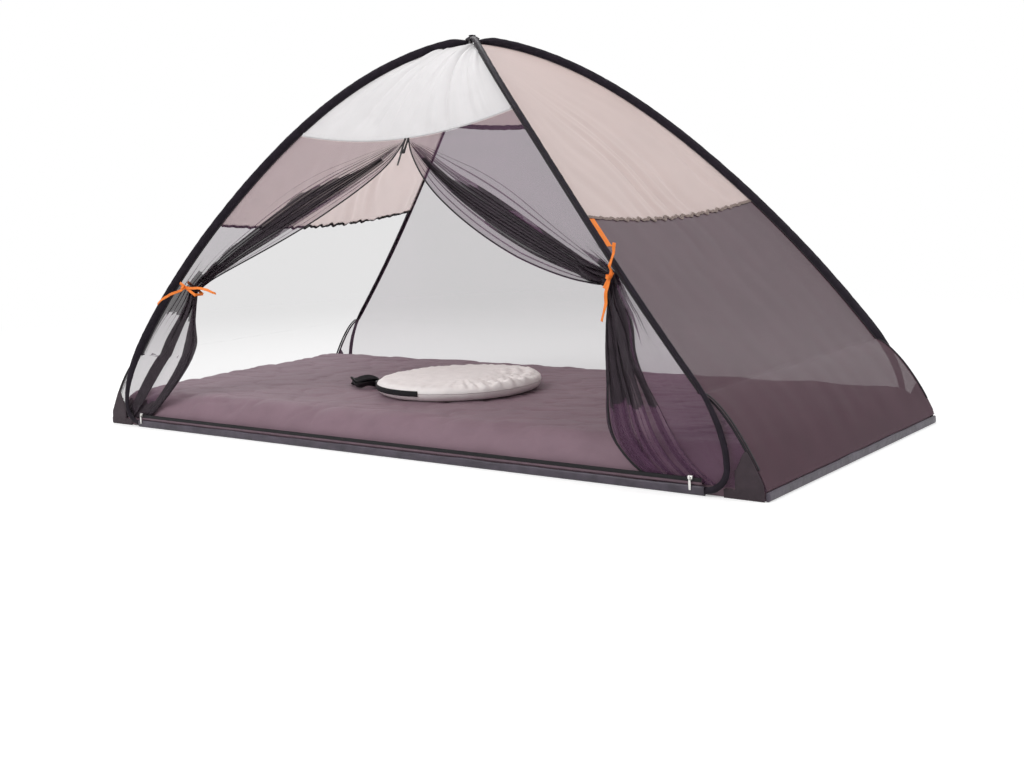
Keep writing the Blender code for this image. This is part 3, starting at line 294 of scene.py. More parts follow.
# Cloths and metals, colours as the shader takes them, lengths in metres
WEAVE_PITCH = 0.0008
NET = {"pitch": 0.0016, "variation": 0.08}
CLOTHS = {
    "white_cloth": {"color": (0.57, 0.56, 0.565), "variation": 0.02, "crease": 0.0010, "crease_scale": 20,
                    "through": (0.25, 0.248, 0.25)},
    "beige_cloth": {"color": (0.265, 0.222, 0.210), "roughness": 0.5, "variation": 0.03, "sheen": 0.1,
                    "crease": 0.0008, "crease_scale": 26, "through": (0.54, 0.51, 0.505)},
    "black_satin": {"color": (0.014, 0.010, 0.016), "roughness": 0.5, "pitch": 0.0006, "weave": 0.1,
                    "variation": 0.3, "patch": 60, "crease": 0.0006, "crease_scale": 110, "shine": 0.12},
    "hem_satin": {"color": (0.065, 0.053, 0.072), "roughness": 0.42, "pitch": 0.0006, "weave": 0.1,
                  "variation": 0.3, "patch": 30, "crease": 0.0016, "crease_scale": 60, "shine": 0.40},
    "black_cloth": {"color": (0.012, 0.009, 0.012), "variation": 0.25, "patch": 60, "crease": 0.0006,
                    "crease_scale": 140},
    "net_right": {"color": (0.060, 0.022, 0.036), "sheen": 0.05, "alpha": 0.87, **NET},
    "net_left": {"color": (0.10, 0.05, 0.085), "sheen": 0.05, "alpha": 0.24, **NET},
    "net_back": {"color": (0.165, 0.095, 0.150), "sheen": 0.05, "alpha": 0.43, **NET},
    "net_curtain_right": {"color": (0.105, 0.044, 0.092), "roughness": 0.55, "alpha": 0.49, **NET},
    "net_curtain_left": {"color": (0.105, 0.044, 0.092), "roughness": 0.55, "alpha": 0.37, **NET},
    # The bunched net: denser for its doubled layers, and darker than the curtain net, which is painted shade
    # inside the bunch
    "net_bunched_painted_shade": {"color": (0.026, 0.017, 0.024), "pitch": 0.0016, "variation": 0.25, "patch": 60,
                    "alpha": 0.82},
    "cover_cloth": {"color": (0.232, 0.150, 0.184), "variation": 0.06, "sheen": 0.1, "crease": 0.0026,
                    "crease_scale": 20, "shine": 0.2},
    "zip_flap": {"color": (0.16, 0.105, 0.13), "roughness": 0.5, "variation": 0.15, "patch": 40,
                 "crease": 0.0010, "crease_scale": 60},
    "corner_cloth": {"color": (0.040, 0.027, 0.034), "roughness": 0.55, "variation": 0.2, "patch": 40,
                     "crease": 0.0010, "crease_scale": 70},
    "orange_ribbon": {"color": (0.95, 0.25, 0.04), "roughness": 0.5, "pitch": 0.0012, "weave": 0.3,
                      "variation": 0.05, "patch": 80},
    "zip_tape": {"color": (0.010, 0.009, 0.011), "pitch": 0.0010, "weave": 0.3, "variation": 0.15,
                 "patch": 80},
    "bag_cloth": {"color": (0.93, 0.885, 0.875), "variation": 0.03, "patch": 30, "crease": 0.0022,
                  "crease_scale": 38},
    "strap_webbing": {"color": (0.012, 0.010, 0.012), "pitch": 0.0018, "weave": 0.5, "variation": 0.2,
                      "patch": 120},
    "seam_hem": {"color": (0.26, 0.20, 0.18), "pitch": 0.0010, "weave": 0.3, "variation": 0.15, "patch": 120},
}
# Colour, roughness and how metallic each one is
METALS = {"slider_plating": ((0.72, 0.71, 0.69), 0.25, 1.0),
          "slider_lacquer": ((0.02, 0.02, 0.022), 0.4, 0.2),
          "spring_wire": ((0.45, 0.45, 0.47), 0.35, 1.0)}
# The solids that keep their shape, by the start of their names
METAL_OF = {"arch_rod": "spring_wire", "base_rod": "spring_wire", "ferrule": "spring_wire",
            "hem_slider": "slider_plating", "hem_pull": "slider_plating", "bag_slider": "slider_plating",
            "bag_pull": "slider_plating", "door_slider": "slider_lacquer", "door_pull": "slider_lacquer"}

# Stage and lamps: place, target, size and power in watts
FLOOR_RADIUS = 60.0
FLOOR_DROP = 0.0004
FLOOR_GREY = (0.80, 0.80, 0.80, 1)
FLOOR_NEAR = 1.2
FLOOR_FAR = 4.0
FLOOR_GLOW_share = 0.38
WORLD_LIGHT_share = 0.52
LAMPS = {"key": ((-0.9, -2.8, 3.1), (0, 0, 0.4), (2.4, 1.8), 66),
         "side": ((3.4, -0.4, 2.6), (0, 0, 0.4), (2.0, 1.8), 34),
         "top": ((0.0, 0.8, 4.0), (0, 0, 0.3), (3.0, 2.0), 34),
         "far_left": ((-3.4, 1.6, 2.8), (-0.4, 0.1, 0.6), (2.0, 1.8), 34)}

# Camera, from the photograph's own view; pixels are in its 1024 by 768 frame
IMAGE_WIDTH_px = 1024
IMAGE_HEIGHT_px = 768
FOCAL_px = 1360.57
CENTRE_X_px = 435.19
CENTRE_Y_px = 284.95
CAMERA_PLACE = Vector((2.1524, -2.7910, 0.6432))
CAMERA_YAW = 2.2636
CAMERA_PITCH = 0.0780
CAMERA_ROLL = 0.0496
SENSOR_MM = 36.0
CLIP_END = 200.0

LEGS = {"front_left": (-1, -1), "front_right": (1, -1), "back_right": (1, 1), "back_left": (-1, 1)}
SLEEVE_OF = {"front_left": "sleeve_a_front", "back_right": "sleeve_a_back",
             "front_right": "sleeve_b_front", "back_left": "sleeve_b_back"}


def smooth(value):
    t = np.clip(value, 0.0, 1.0)
    return t * t * (3 - 2 * t)


def mix(a, b, t):
    return a + (b - a) * t


# Leg and face shapes

def leg_x(u):
    return HALF_LENGTH * (u - LENGTH_BOW_share * np.sin(math.pi * u))


def leg_y(u):
    bow = WIDTH_BOW_share * np.sin(math.pi * u) + WIDTH_RIPPLE_share * np.sin(3 * math.pi * u)
    return HALF_WIDTH * (u + bow) + SKIRT_FLARE * smooth((u - SKIRT_START_share) / (1 - SKIRT_START_share))


def leg_z(u):
    foot = HEM_HEIGHT + GAP + CLOTH / 2
    rise = SEAM_HEIGHT - foot
    skirt = np.clip((u - SKIRT_START_share) / (1 - SKIRT_START_share), 0.0, 1.0)
    bulge = SKIRT_BULGE * np.abs(np.sin(math.pi * skirt)) ** SKIRT_FULL_share
    return foot + rise * (1 - np.abs(u) ** LEG_POWER_share) + bulge


TUNNEL_Y = float(leg_y(1.0)) + TUNNEL_OFFSET


def leg_share_at(z):
    """How far down the leg a height lies, by halving."""
    low = np.zeros_like(z)
    high = np.ones_like(z)
    for _ in range(40):
        middle = (low + high) / 2
        above = leg_z(middle) > z
        low = np.where(above, middle, low)
        high = np.where(above, high, middle)
    return (low + high) / 2


def front_y_at(z):
    """Where the front face stands at a height."""
    return -leg_y(leg_share_at(z))


def seam_point(u, signs):
    return Vector((signs[0] * float(leg_x(u)), signs[1] * float(leg_y(u)), float(leg_z(u))))


def leg_tangent(u, signs):
    a = seam_point(max(u - TANGENT_STEP_share, 0.0), signs)
    b = seam_point(min(u + TANGENT_STEP_share, 1.0), signs)
    return (b - a).normalized()


def ridge_normal(u, signs):
    """The way a leg's ridge points, halfway between its two faces."""
    tangent = leg_tangent(u, signs)
    face = Vector((1, 0, 0)).cross(tangent)
    end = Vector((0, 1, 0)).cross(tangent)
    if face.dot(Vector((0, signs[1], 1))) < 0:
        face = -face
    if end.dot(Vector((signs[0], 0, 1))) < 0:
        end = -end
    normal = face.normalized() + end.normalized()
    normal -= tangent * normal.dot(tangent)
    return normal.normalized()


def sag_share(u):
    return np.sin(math.pi * np.minimum(u / SAG_END_share, 1.0))


def long_face(u, s, side, dip, sag):
    """Points of the front or back face; s runs from -1 at the left leg to 1 at the right one."""
    low = u + dip * (1 - s * s)
    x = s * (leg_x(u) - EDGE_INSET)
    y = side * (leg_y(low) - sag * sag_share(u) * (1 - s * s))
    return np.stack([x, y, leg_z(low)], -1)


def end_face(u, t, side):
    """Points of the left or right face; t runs from -1 at the front leg to 1 at the back one."""
    dip = puckered_dip(u, t, END_SEAM_share, END_DIP_share, HALF_WIDTH, END_PUCKER_share, 2 + side)
    low = u + dip * (1 - t * t)
    y = t * (leg_y(u) - EDGE_INSET)
    x = side * (leg_x(low) - END_SAG * sag_share(u) * (1 - t * t))
    return np.stack([x, y, leg_z(low)], -1)


def back_face(u, s):
    length = HALF_LENGTH * BACK_SEAM_share
    dip = puckered_dip(u, s, BACK_SEAM_share, BACK_DIP_share, length, BACK_PUCKER_share, 5)
    return long_face(u, s, 1, dip, BACK_SAG)


def front_face(u, s):
    lean = u - FRONT_TILT_share * s
    return long_face(lean, s, -1, FRONT_DIP_share * seam_weight(u, FRONT_SEAM_share), FRONT_SAG)


def puckered_dip(u, s, seam, dip, length, sway, seed):
    """How far a face dips at its seam, with the seam's puckers, as a share of the leg."""
    near = np.exp(-((u - seam) / PUCKER_REACH_share) ** 2)
    run = s * length
    first = np.sin(math.tau * run / PUCKER_LONG + seed)
    second = np.sin(math.tau * run / PUCKER_SHORT + 2.0 * seed + 1.5 * np.sin(9 * run + seed))
    return dip * seam_weight(u, seam) + sway * (0.55 * first + 0.45 * second) * near


def seam_weight(u, seam):
    return np.where(u <= seam, smooth(u / seam), 1 - smooth((u - seam) / (SAG_END_share - seam)))


# Mesh helpers

def noise_of(points, scale, seed):
    """Smooth noise between about -1 and 1 at each point of a grid."""
    flat = points.reshape(-1, 3) * scale + np.array([seed * 17.3, seed * 5.7, seed * 11.1])
    values = np.array([noise.noise(Vector(p)) for p in flat])
    return values.reshape(points.shape[:-1])


def noise_at(x, y, seed, scale=1.0):
    return noise_of(np.stack([x, y, 0 * x], -1), scale, seed)


def waves(points, layers):
    """The sum of some layers of noise."""
    return sum(height * noise_of(points * np.array(stretch), scale, seed)
               for height, stretch, scale, seed in layers)


def unit(vectors):
    return vectors / np.linalg.norm(vectors, axis=-1, keepdims=True)


def along(points):
    """Unit directions along a line of points."""
    return unit(np.gradient(points, axis=0))


def run_along(line):
    """How far along a line each of its points lies."""
    return np.concatenate([[0.0], np.cumsum(np.linalg.norm(np.diff(line, axis=0), axis=1))])


def round_angles(count):
    return np.linspace(0, math.tau, count, endpoint=False)


def lattice(down, across):
    return np.meshgrid(down, across, indexing="ij")


def outward(points, out):
    """Normals of a grid, turned to the side that out points to."""
    normal = np.cross(np.gradient(points, axis=1), np.gradient(points, axis=0))
    normal = normal / np.maximum(np.linalg.norm(normal, axis=-1, keepdims=True), 1e-12)
    if np.sum(normal * np.array(out)) < 0:
        normal = -normal
    return normal


def settle(points, out, amount):
    return points + outward(points, out) * amount[..., None]


def roughen(points, centres, amount):
    """Rings of a tube moved in or out from their centres."""
    return points + unit(points - centres[:, None, :]) * amount[..., None]


def resample(points, count):
    """A smooth line through the points, by Catmull-Rom curves."""
    points = np.array(points, dtype=float)
    before = 2 * points[0] - points[1]
    after = 2 * points[-1] - points[-2]
    knots = np.concatenate([[before], points, [after]])
    places = np.linspace(0, len(points) - 1, count)
    first = np.minimum(places.astype(int), len(points) - 2)
    t = (places - first)[:, None]
    a, b, c, d = (knots[first + k] for k in range(4))
    return b + 0.5 * t * (c - a + t * (2 * a - 5 * b + 4 * c - d + t * (3 * (b - c) + d - a)))


def link_object(name, mesh, material):
    mesh.shade_smooth()
    mesh.materials.append(material)
    obj = bpy.data.objects.new(name, mesh)
    bpy.context.scene.collection.objects.link(obj)
    return obj


def grid_object(name, points, material, thickness=0.0, wrap=False):
    """A mesh over a grid of points, with a UV map in metres and a thickness if one is given."""
    rows, columns = points.shape[:2]
    index = np.arange(rows * columns).reshape(rows, columns)
    if wrap:
        index = np.concatenate([index, index[:, :1]], axis=1)
    corners = (index[:-1, :-1], index[:-1, 1:], index[1:, 1:], index[1:, :-1])
    faces = np.stack([corner.ravel() for corner in corners], 1)
    mesh = bpy.data.meshes.new(name)
    mesh.from_pydata(points.reshape(-1, 3).tolist(), [], faces.tolist())
    steps_across = np.linalg.norm(np.diff(points, axis=1), axis=2)
    steps_down = np.linalg.norm(np.diff(points, axis=0), axis=2)
    across = np.concatenate([np.zeros((rows, 1)), np.cumsum(steps_across, 1)], 1)
    down = np.concatenate([np.zeros((1, columns)), np.cumsum(steps_down, 0)], 0)
    spots = np.stack([across.ravel(), down.ravel()], 1)
    layer = mesh.uv_layers.new(name="metres")
    loops = np.zeros(len(mesh.loops), dtype=np.int32)
    mesh.loops.foreach_get("vertex_index", loops)
    layer.data.foreach_set("uv", spots[loops].astype(np.float32).ravel())
    obj = link_object(name, mesh, material)
    if thickness:
        shell = obj.modifiers.new("thickness", "SOLIDIFY")
        shell.thickness = thickness
        shell.offset = 0.0
    return obj


def closed_object(name, points, material):
    """A mesh over rings of points, with both ends filled."""
    obj = grid_object(name, points, material, wrap=True)
    rows, columns = points.shape[:2]
    bm = bmesh.new()
    bm.from_mesh(obj.data)
    bm.verts.ensure_lookup_table()
    bm.faces.new([bm.verts[k] for k in range(columns)])
    bm.faces.new([bm.verts[(rows - 1) * columns + k] for k in reversed(range(columns))])
    bmesh.ops.recalc_face_normals(bm, faces=bm.faces)
    bm.to_mesh(obj.data)
    bm.free()
    return obj


def tube_points(centres, normals, tangents, profile):
    """Rings of a tube: profile gives the places round it along the normal and across it."""
    sides = unit(np.cross(tangents, normals))
    straight = np.cross(sides, tangents)
    return (centres[:, None, :] + straight[:, None, :] * profile[..., 0][..., None]
            + sides[:, None, :] * profile[..., 1][..., None])


def join_up(obj, body, solid=None):
    """Puts a piece on its body (none for the pieces that span the fold, which stay where they are) and hides
    the solid it stands for.
    """
    if solid:
        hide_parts(solid)
    if body:
        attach(obj, body)
    else:
        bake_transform(obj)


# Materials

def feed(tree, made, inputs):
    """Gives each input of a node its value, or links it to the socket that feeds it."""
    for key, value in inputs.items():
        if isinstance(value, bpy.types.NodeSocket):
            tree.links.new(value, made.inputs[key])
        else:
            made.inputs[key].default_value = value


def node(tree, kind, inputs, **settings):
    made = tree.nodes.new(kind)
    for key, value in settings.items():
        setattr(made, key, value)
    feed(tree, made, inputs)
    return made


def new_material(name):
    material = bpy.data.materials.new(name)
    material.use_nodes = True
    tree = material.node_tree
    return material, tree, tree.nodes["Principled BSDF"]


def end_in(tree, shader):
    tree.links.new(shader, tree.nodes["Material Output"].inputs["Surface"])


def thread_height(tree, pitch):
    """Height of a plain weave: threads both ways at the given pitch, in metres of cloth."""
    place = node(tree, "ShaderNodeUVMap", {}, uv_map="metres").outputs["UV"]
    threads = {"Scale": math.pi / 10 / pitch, "Distortion": 0.6, "Detail": 1.0, "Vector": place}
    crossed = {}
    for side, direction in enumerate("XY"):
        wave = node(tree, "ShaderNodeTexWave", threads, wave_type="BANDS", bands_direction=direction)
        crossed[side] = wave.outputs["Fac"]
    return node(tree, "ShaderNodeMath", crossed, operation="MULTIPLY").outputs["Value"]


def fabric(name, color, roughness=0.6, pitch=WEAVE_PITCH, weave=0.15, variation=0.06, patch=14.0, sheen=0.0,
           alpha=1.0, crease=0.0, crease_scale=40.0, through=None, shine=0.25):
    """Woven cloth: uneven colour, its weave, fine creases and the light that thin cloth lets through."""
    material, tree, shader = new_material(name)
    place = node(tree, "ShaderNodeTexCoord", {}).outputs["Object"]
    blotch = node(tree, "ShaderNodeTexNoise", {"Scale": patch, "Detail": 4.0, "Vector": place}).outputs["Fac"]
    tone = node(tree, "ShaderNodeMapRange", {"From Min": 0.3, "From Max": 0.7, "To Min": 1 - variation,
                                             "To Max": 1 + variation, "Value": blotch})
    cloth = node(tree, "ShaderNodeMix", {}, data_type="RGBA", blend_type="MULTIPLY")
    feed(tree, cloth, {"Factor": 1.0, "A": (*color, 1), "B": tone.outputs["Result"]})
    height = thread_height(tree, pitch)
    bump = node(tree, "ShaderNodeBump", {"Strength": weave, "Distance": pitch / 3, "Height": height})
    if crease:
        folds = node(tree, "ShaderNodeTexNoise", {"Scale": crease_scale, "Detail": 5.0, "Vector": place})
        bump = node(tree, "ShaderNodeBump", {"Strength": 1.0, "Distance": crease,
                                             "Height": folds.outputs["Fac"],
                                             "Normal": bump.outputs["Normal"]})
    normal = bump.outputs["Normal"]
    feed(tree, shader, {"Roughness": roughness, "Sheen Weight": sheen, "Alpha": alpha,
                        "Specular IOR Level": shine, "Base Color": cloth.outputs["Result"],
                        "Normal": normal})
    if through is not None:
        glow = node(tree, "ShaderNodeBsdfTranslucent", {"Color": (*through, 1), "Normal": normal})
        both = node(tree, "ShaderNodeAddShader", {0: shader.outputs["BSDF"], 1: glow.outputs["BSDF"]})
        end_in(tree, both.outputs["Shader"])
    return material


def metal(name, color, roughness, metallic):
    """Plated or painted metal with faint brushing."""
    material, tree, shader = new_material(name)
    place = node(tree, "ShaderNodeTexCoord", {}).outputs["Object"]
    brush = node(tree, "ShaderNodeTexNoise", {"Scale": 900.0, "Vector": place}).outputs["Fac"]
    spread = node(tree, "ShaderNodeMapRange", {"To Min": roughness * 0.8, "To Max": roughness * 1.3,
                                               "Value": brush})
    feed(tree, shader, {"Base Color": (*color, 1), "Metallic": metallic,
                        "Roughness": spread.outputs["Result"]})
    return material


CLOTH_OF = {name: fabric(name, **look) for name, look in CLOTHS.items()}
METAL = {name: metal(name, *look) for name, look in METALS.items()}
ORANGE = CLOTH_OF["orange_ribbon"]
ZIP = CLOTH_OF["zip_tape"]
BLACK = CLOTH_OF["black_cloth"]


# Sleeves

def crossing_ease(u):
    return float(smooth(u / CROSSING_REACH_share))


def sleeve_station(u, signs):
    """Centre, wide direction and half sizes of a sleeve at one place."""
    ease = crossing_ease(u)
    half_wide = mix(CROSSING_HALF_THIN, SLEEVE_HALF_WIDE, ease)
    lift = SEAM_STANDOFF + half_wide
    if signs[0] * signs[1] < 0:
        lift += (2 * CROSSING_HALF_THIN + GAP) * (1 - ease)
    normal = ridge_normal(u, signs)
    half_thin = mix(CROSSING_HALF_WIDE, SLEEVE_HALF_THIN, ease)
    return seam_point(u, signs) + normal * lift, normal, half_wide, half_thin


def sleeve_stations(signs):
    """Stations from the crossing down one sleeve, closely spaced, and round into the hem."""
    reach = seam_point(FIRST_STEP_share, (1, 1)) - seam_point(0.0, (1, 1))
    first = FIRST_STEP_share * CROSSING_HOLD_BACK / reach.length
    stations = [sleeve_station(float(u), signs) for u in np.linspace(first, FOOT_START_share, 150)]
    start, start_normal = stations[-1][:2]
    bend = Vector((signs[0] * (FOOT_X - FOOT_BEND), signs[1] * TUNNEL_Y, HEM_HEIGHT / 2 + FOOT_BEND))
    end = Vector((signs[0] * FOOT_X, bend.y, bend.z))
    lead = start + leg_tangent(FOOT_START_share, signs) * FOOT_EASE
    hold = end + Vector((0, 0, FOOT_EASE))
    for t in np.linspace(0, 1, 17)[1:].tolist():
        point = start * (1 - t) ** 3 + lead * 3 * t * (1 - t) ** 2 + hold * 3 * t * t * (1 - t) + end * t ** 3
        normal = (start_normal * (1 - t) + Vector((signs[0], 0, 0)) * t).normalized()
        stations.append((point, normal, mix(SLEEVE_HALF_WIDE, FOOT_HALF_WIDE, t), SLEEVE_HALF_THIN))
    for angle in np.linspace(0, math.pi / 2, 13)[1:].tolist():
        out = Vector((signs[0] * math.cos(angle), 0, -math.sin(angle)))
        stations.append((bend + out * FOOT_BEND, out, FOOT_HALF_WIDE, SLEEVE_HALF_THIN))
    return stations


def sleeve_profile(wide, thin):
    """A pod shape: round over the rod on the outside and drawn in to the seam."""
    angle = round_angles(SLEEVE_SIDES)
    narrow = 0.55 + 0.40 * smooth((np.cos(angle) + 1) / 1.3)
    reach = np.where(np.cos(angle) < 0, 1.24, 0.94)
    return np.stack([wide * reach * np.cos(angle), thin * np.sin(angle) * narrow], -1)


def build_sleeve(solid, signs, body):
    stations = sleeve_stations(signs)
    centres = np.array([s[0] for s in stations])
    normals = np.array([s[1] for s in stations])
    tangents = along(centres)
    tangents[-1] = (-signs[0], 0, 0)
    profile = np.stack([sleeve_profile(s[2], s[3]) for s in stations])
    points = tube_points(centres, normals, tangents, profile)
    wobble = noise_of(points, 70.0, 3 + signs[0] + 2 * signs[1]) + 0.5 * noise_of(points, 190.0, 8)
    points = roughen(points, centres, wobble * SLEEVE_WRINKLE)
    join_up(closed_object("cloth_" + solid, points, CLOTH_OF["black_satin"]), body, solid)


def build_binding(name, signs, body, inward):
    """A narrow tape that covers the edge of a panel beside a sleeve; inward is the way from the leg."""
    u = np.linspace(0.035, 0.985, 200)
    leg = np.stack([leg_x(u), leg_y(u), leg_z(u)], -1)
    steps = [offset * BINDING_WIDTH * np.array(inward) for offset in np.linspace(0, 1, 5)]
    points = np.stack([(leg - step) * np.array([*signs, 1]) for step in steps], 0)
    out = outward(points, (signs[0] * inward[1], signs[1] * inward[0], 0.5))
    roll = BINDING_LIFT * (1 + 0.7 * np.sin(np.linspace(0, math.pi, 5)))[:, None]
    roll = roll + BINDING_ROUGH * noise_of(points, 60.0, 5)
    join_up(grid_object(name, points + out * roll[..., None], BLACK, TAPE_THICK), body)


def half_of(signs):
    return FRONT if signs[1] < 0 else BACK


def build_sleeves():
    for leg, signs in LEGS.items():
        body = half_of(signs)
        build_sleeve(SLEEVE_OF[leg], signs, body)
        build_binding(f"binding_{leg}_long", signs, body, (1, 0, 0))
        build_binding(f"binding_{leg}_end", signs, body, (0, 1, 0))


# Panels and walls

def edge_fade(u, s, low, high, rim):
    """None at the sewn edges of a face, full inside it."""
    return smooth((u - low) / rim) * smooth((high - u) / rim) * smooth((1 - np.abs(s)) / (2 * rim))


def panel_grid(seam, rows, columns):
    return lattice(np.linspace(PANEL_TOP_share, seam - SEAM_GAP_share, rows), np.linspace(-1, 1, columns))


def net_grid(seam, rows, columns):
    shares = np.concatenate([np.linspace(seam + SEAM_GAP_share, SAG_END_share, rows),
                             np.linspace(SAG_END_share, 1.0, 32)[1:]])
    return lattice(shares, np.linspace(-1, 1, columns))


def build_panel(name, points, cloth, body, solid):
    obj = grid_object(name, points, CLOTH_OF[cloth], PANEL_THICK)
    join_up(obj, body, solid)


def build_net(name, points, cloth, body, solid):
    obj = grid_object(name, points, CLOTH_OF[cloth])
    join_up(obj, body, solid)


def front_panel():
    u, s = panel_grid(FRONT_SEAM_share, 110, 220)
    u = u - FRONT_TILT_share * s * (u - PANEL_TOP_share) / (FRONT_SEAM_share - PANEL_TOP_share)
    points = long_face(u, s, -1, FRONT_DIP_share * seam_weight(u, FRONT_SEAM_share), FRONT_SAG)
    angle = np.arctan2(points[..., 0], RAYS_Z - points[..., 2])
    amount = np.zeros_like(u)
    for place, width, depth in WHITE_CREASES:
        amount += depth * np.exp(-((angle - place) / width) ** 2)
    amount += waves(np.stack([7.5 * angle, 0.5 * points[..., 2], 0 * angle], -1), RAY_WAVES)
    amount += waves(points, WHITE_WAVES)
    fade = edge_fade(u, s, PANEL_TOP_share, FRONT_SEAM_share, RIM_share)
    points = settle(points, (0, -1, 0.5), amount * fade)
    build_panel("white_panel", points, "white_cloth", FRONT, "top_panel_front")


def back_panel():
    u, s = panel_grid(BACK_SEAM_share, 80, 140)
    points = back_face(u, s)
    folds = np.sin(34 * (s + 0.25 * (u / BACK_SEAM_share)) + 3 * noise_of(points, 5.0, 4))
    amount = BACK_FOLD * folds * smooth(u / BACK_SEAM_share) + waves(points, BACK_WAVES)
    fade = edge_fade(u, s, PANEL_TOP_share, BACK_SEAM_share, RIM_share)
    points = settle(points, (0, 1, 0.5), amount * fade)
    build_panel("beige_panel_back", points, "beige_cloth", BACK, "top_panel_back")


def end_folds(u, t, points, side):
    """Slanting folds that run down to the seam and gather there."""
    depth = smooth((u - 0.22) / 0.36) * mix(0.25, 1.0, smooth((t + 0.9) / 0.9))
    lean = t - 1.15 * (u - END_SEAM_share) + 0.35 * (u - END_SEAM_share) ** 2
    wander = noise_of(points * np.array([1.0, 1.0, 0.5]), 4.5, 6 + side)
    patchy = 0.35 + 0.65 * smooth(0.5 + 1.4 * noise_of(points * np.array([1.0, 1.0, 0.4]), 6.5, 30 + side))
    folds = np.sin(21 * lean + 5 * wander) + 0.6 * np.sin(43 * lean + 11 * wander + 1.2)
    return END_FOLD * folds * depth * patchy


def end_panel(name, side):
    u, t = panel_grid(END_SEAM_share, 130, 150)
    points = end_face(u, t, side)
    fade = edge_fade(u, t, PANEL_TOP_share, END_SEAM_share + 0.03, RIM_share)
    amount = end_folds(u, t, points, side) + END_WAVE * noise_of(points, 6.0, 7 + side)
    points = settle(points, (side, 0, 0.5), amount * fade)
    build_panel(f"beige_panel_{name}", points, "beige_cloth", None, f"top_panel_{name}")


def end_net(name, side):
    u, t = net_grid(END_SEAM_share, 70, 130)
    points = end_face(u, t, side)
    fade = edge_fade(u, t, END_SEAM_share - 0.03, 1.0, NET_RIM_share)
    amount = END_NET_WAVE * noise_of(points * np.array([1.0, 2.0, 0.6]), 9.0, 9 + side)
    folds = end_folds(u * 0 + END_SEAM_share, t, points * np.array([1.0, 1.0, 0.2]), side)
    amount += END_NET_FOLD_share * folds * smooth((0.78 - u) / 0.15)
    points = settle(points, (side, 0, 0.3), amount * fade)
    build_net(f"end_net_{name}", points, f"net_{name}", None, f"net_{name}")


def back_net():
    u, s = net_grid(BACK_SEAM_share, 110, 180)
    points = back_face(u, s)
    fade = edge_fade(u, s, BACK_SEAM_share - 0.02, 1.0, NET_RIM_share)
    folds = np.sin(30 * s * (1 + 0.2 * u) + 4 * noise_of(points, 3.0, 12))
    amount = BACK_NET_FOLD * folds * smooth((0.62 - u) / 0.25) + waves(points, BACK_NET_WAVES)
    points = settle(points, (0, 1, 0.3), amount * fade)
    build_net("long_net_back", points, "net_back", BACK, "net_back")


def build_seam_band(name, seam, size, cloth, body, seed):
    """A narrow sewn band along a seam, given by its line and the way that the cloth faces there."""
    line, out = seam
    width, lift, thick = size
    sides = unit(np.cross(along(line), out))
    points = np.stack([line + sides * (k * width) for k in np.linspace(-0.5, 0.5, 5)], 0)
    run = run_along(line)
    pucker = BAND_PUCKER * np.sin(math.tau * run / BAND_PUCKER_LENGTH + 3 * np.sin(run * 31 + seed))
    roll = np.cos(np.linspace(-1, 1, 5) * 1.2)[:, None]
    points = settle(points, out[len(out) // 2], lift + pucker[None, :] * roll)
    join_up(grid_object(name, points, CLOTH_OF[cloth], thick), body)


def build_stitches(name, seam, body):
    """A row of thread stitches that lies on a seam."""
    line, out = seam
    run = run_along(line)
    bm = bmesh.new()
    angles = round_angles(6)
    for start in np.arange(STITCH_PITCH, run[-1] - STITCH_PITCH, STITCH_PITCH):
        rings = []
        for share, size in ((0.0, 0.25), (0.2, 1.0), (0.8, 1.0), (1.0, 0.25)):
            place = start + STITCH_LENGTH * share
            centre = np.array([np.interp(place, run, line[:, k]) for k in range(3)])
            nearest = int(np.searchsorted(run, place)) - 1
            step = line[nearest + 1] - line[nearest]
            step /= np.linalg.norm(step)
            side = np.cross(step, out[nearest])
            side /= np.linalg.norm(side)
            up = np.cross(side, step)
            sunk = STITCH_LIFT - STITCH_RADIUS * (1.5 if size < 1 else 0.0)
            radius = STITCH_RADIUS * size
            ring = [centre + up * (sunk + radius * math.sin(angle)) + side * (radius * math.cos(angle))
                    for angle in angles]
            rings.append([bm.verts.new(p) for p in ring])
        for a, b in zip(rings[:-1], rings[1:]):
            for k in range(len(angles)):
                after = (k + 1) % len(angles)
                bm.faces.new((a[k], a[after], b[after], b[k]))
        bm.faces.new(rings[0])
        bm.faces.new(rings[-1])
    bmesh.ops.recalc_face_normals(bm, faces=bm.faces)
    mesh = bpy.data.meshes.new(name)
    bm.to_mesh(mesh)
    bm.free()
    join_up(link_object(name, mesh, BLACK), body)


def seam_line(face, seam, axis, side):
    """Points along a seam and the way its cloth faces there, turned to a side along an axis."""
    s = np.linspace(-BAND_SPAN_share, BAND_SPAN_share, 420)
    line = face(np.full_like(s, seam), s)
    beside = face(np.full_like(s, seam + 0.01), s)
    out = unit(np.cross(along(line), beside - line))
    return line, out * np.sign(out[:, axis:axis + 1]) * side


def build_seam_bands():
    for name, side in (("right", 1), ("left", -1)):
        seam = seam_line(lambda u, t, side=side: end_face(u, t, side), END_SEAM_share, 0, side)
        build_seam_band(f"seam_outer_{name}", seam, OUTER_BAND, "seam_hem", None, 3)
        build_seam_band(f"seam_inner_{name}", seam, END_INNER_BAND, "black_cloth", None, 4)
        build_stitches(f"seam_stitch_{name}", seam, None)
    seam = seam_line(back_face, BACK_SEAM_share, 1, 1)
    build_seam_band("seam_outer_back", seam, OUTER_BAND, "seam_hem", BACK, 5)
    build_seam_band("seam_inner_back", seam, BACK_INNER_BAND, "black_cloth", BACK, 6)
    build_stitches("seam_stitch_back", seam, BACK)
    seam = seam_line(front_face, FRONT_SEAM_share + FRONT_BAND_DROP_share, 1, -1)
    build_seam_band("seam_outer_front", seam, FRONT_BAND, "white_cloth", FRONT, 7)


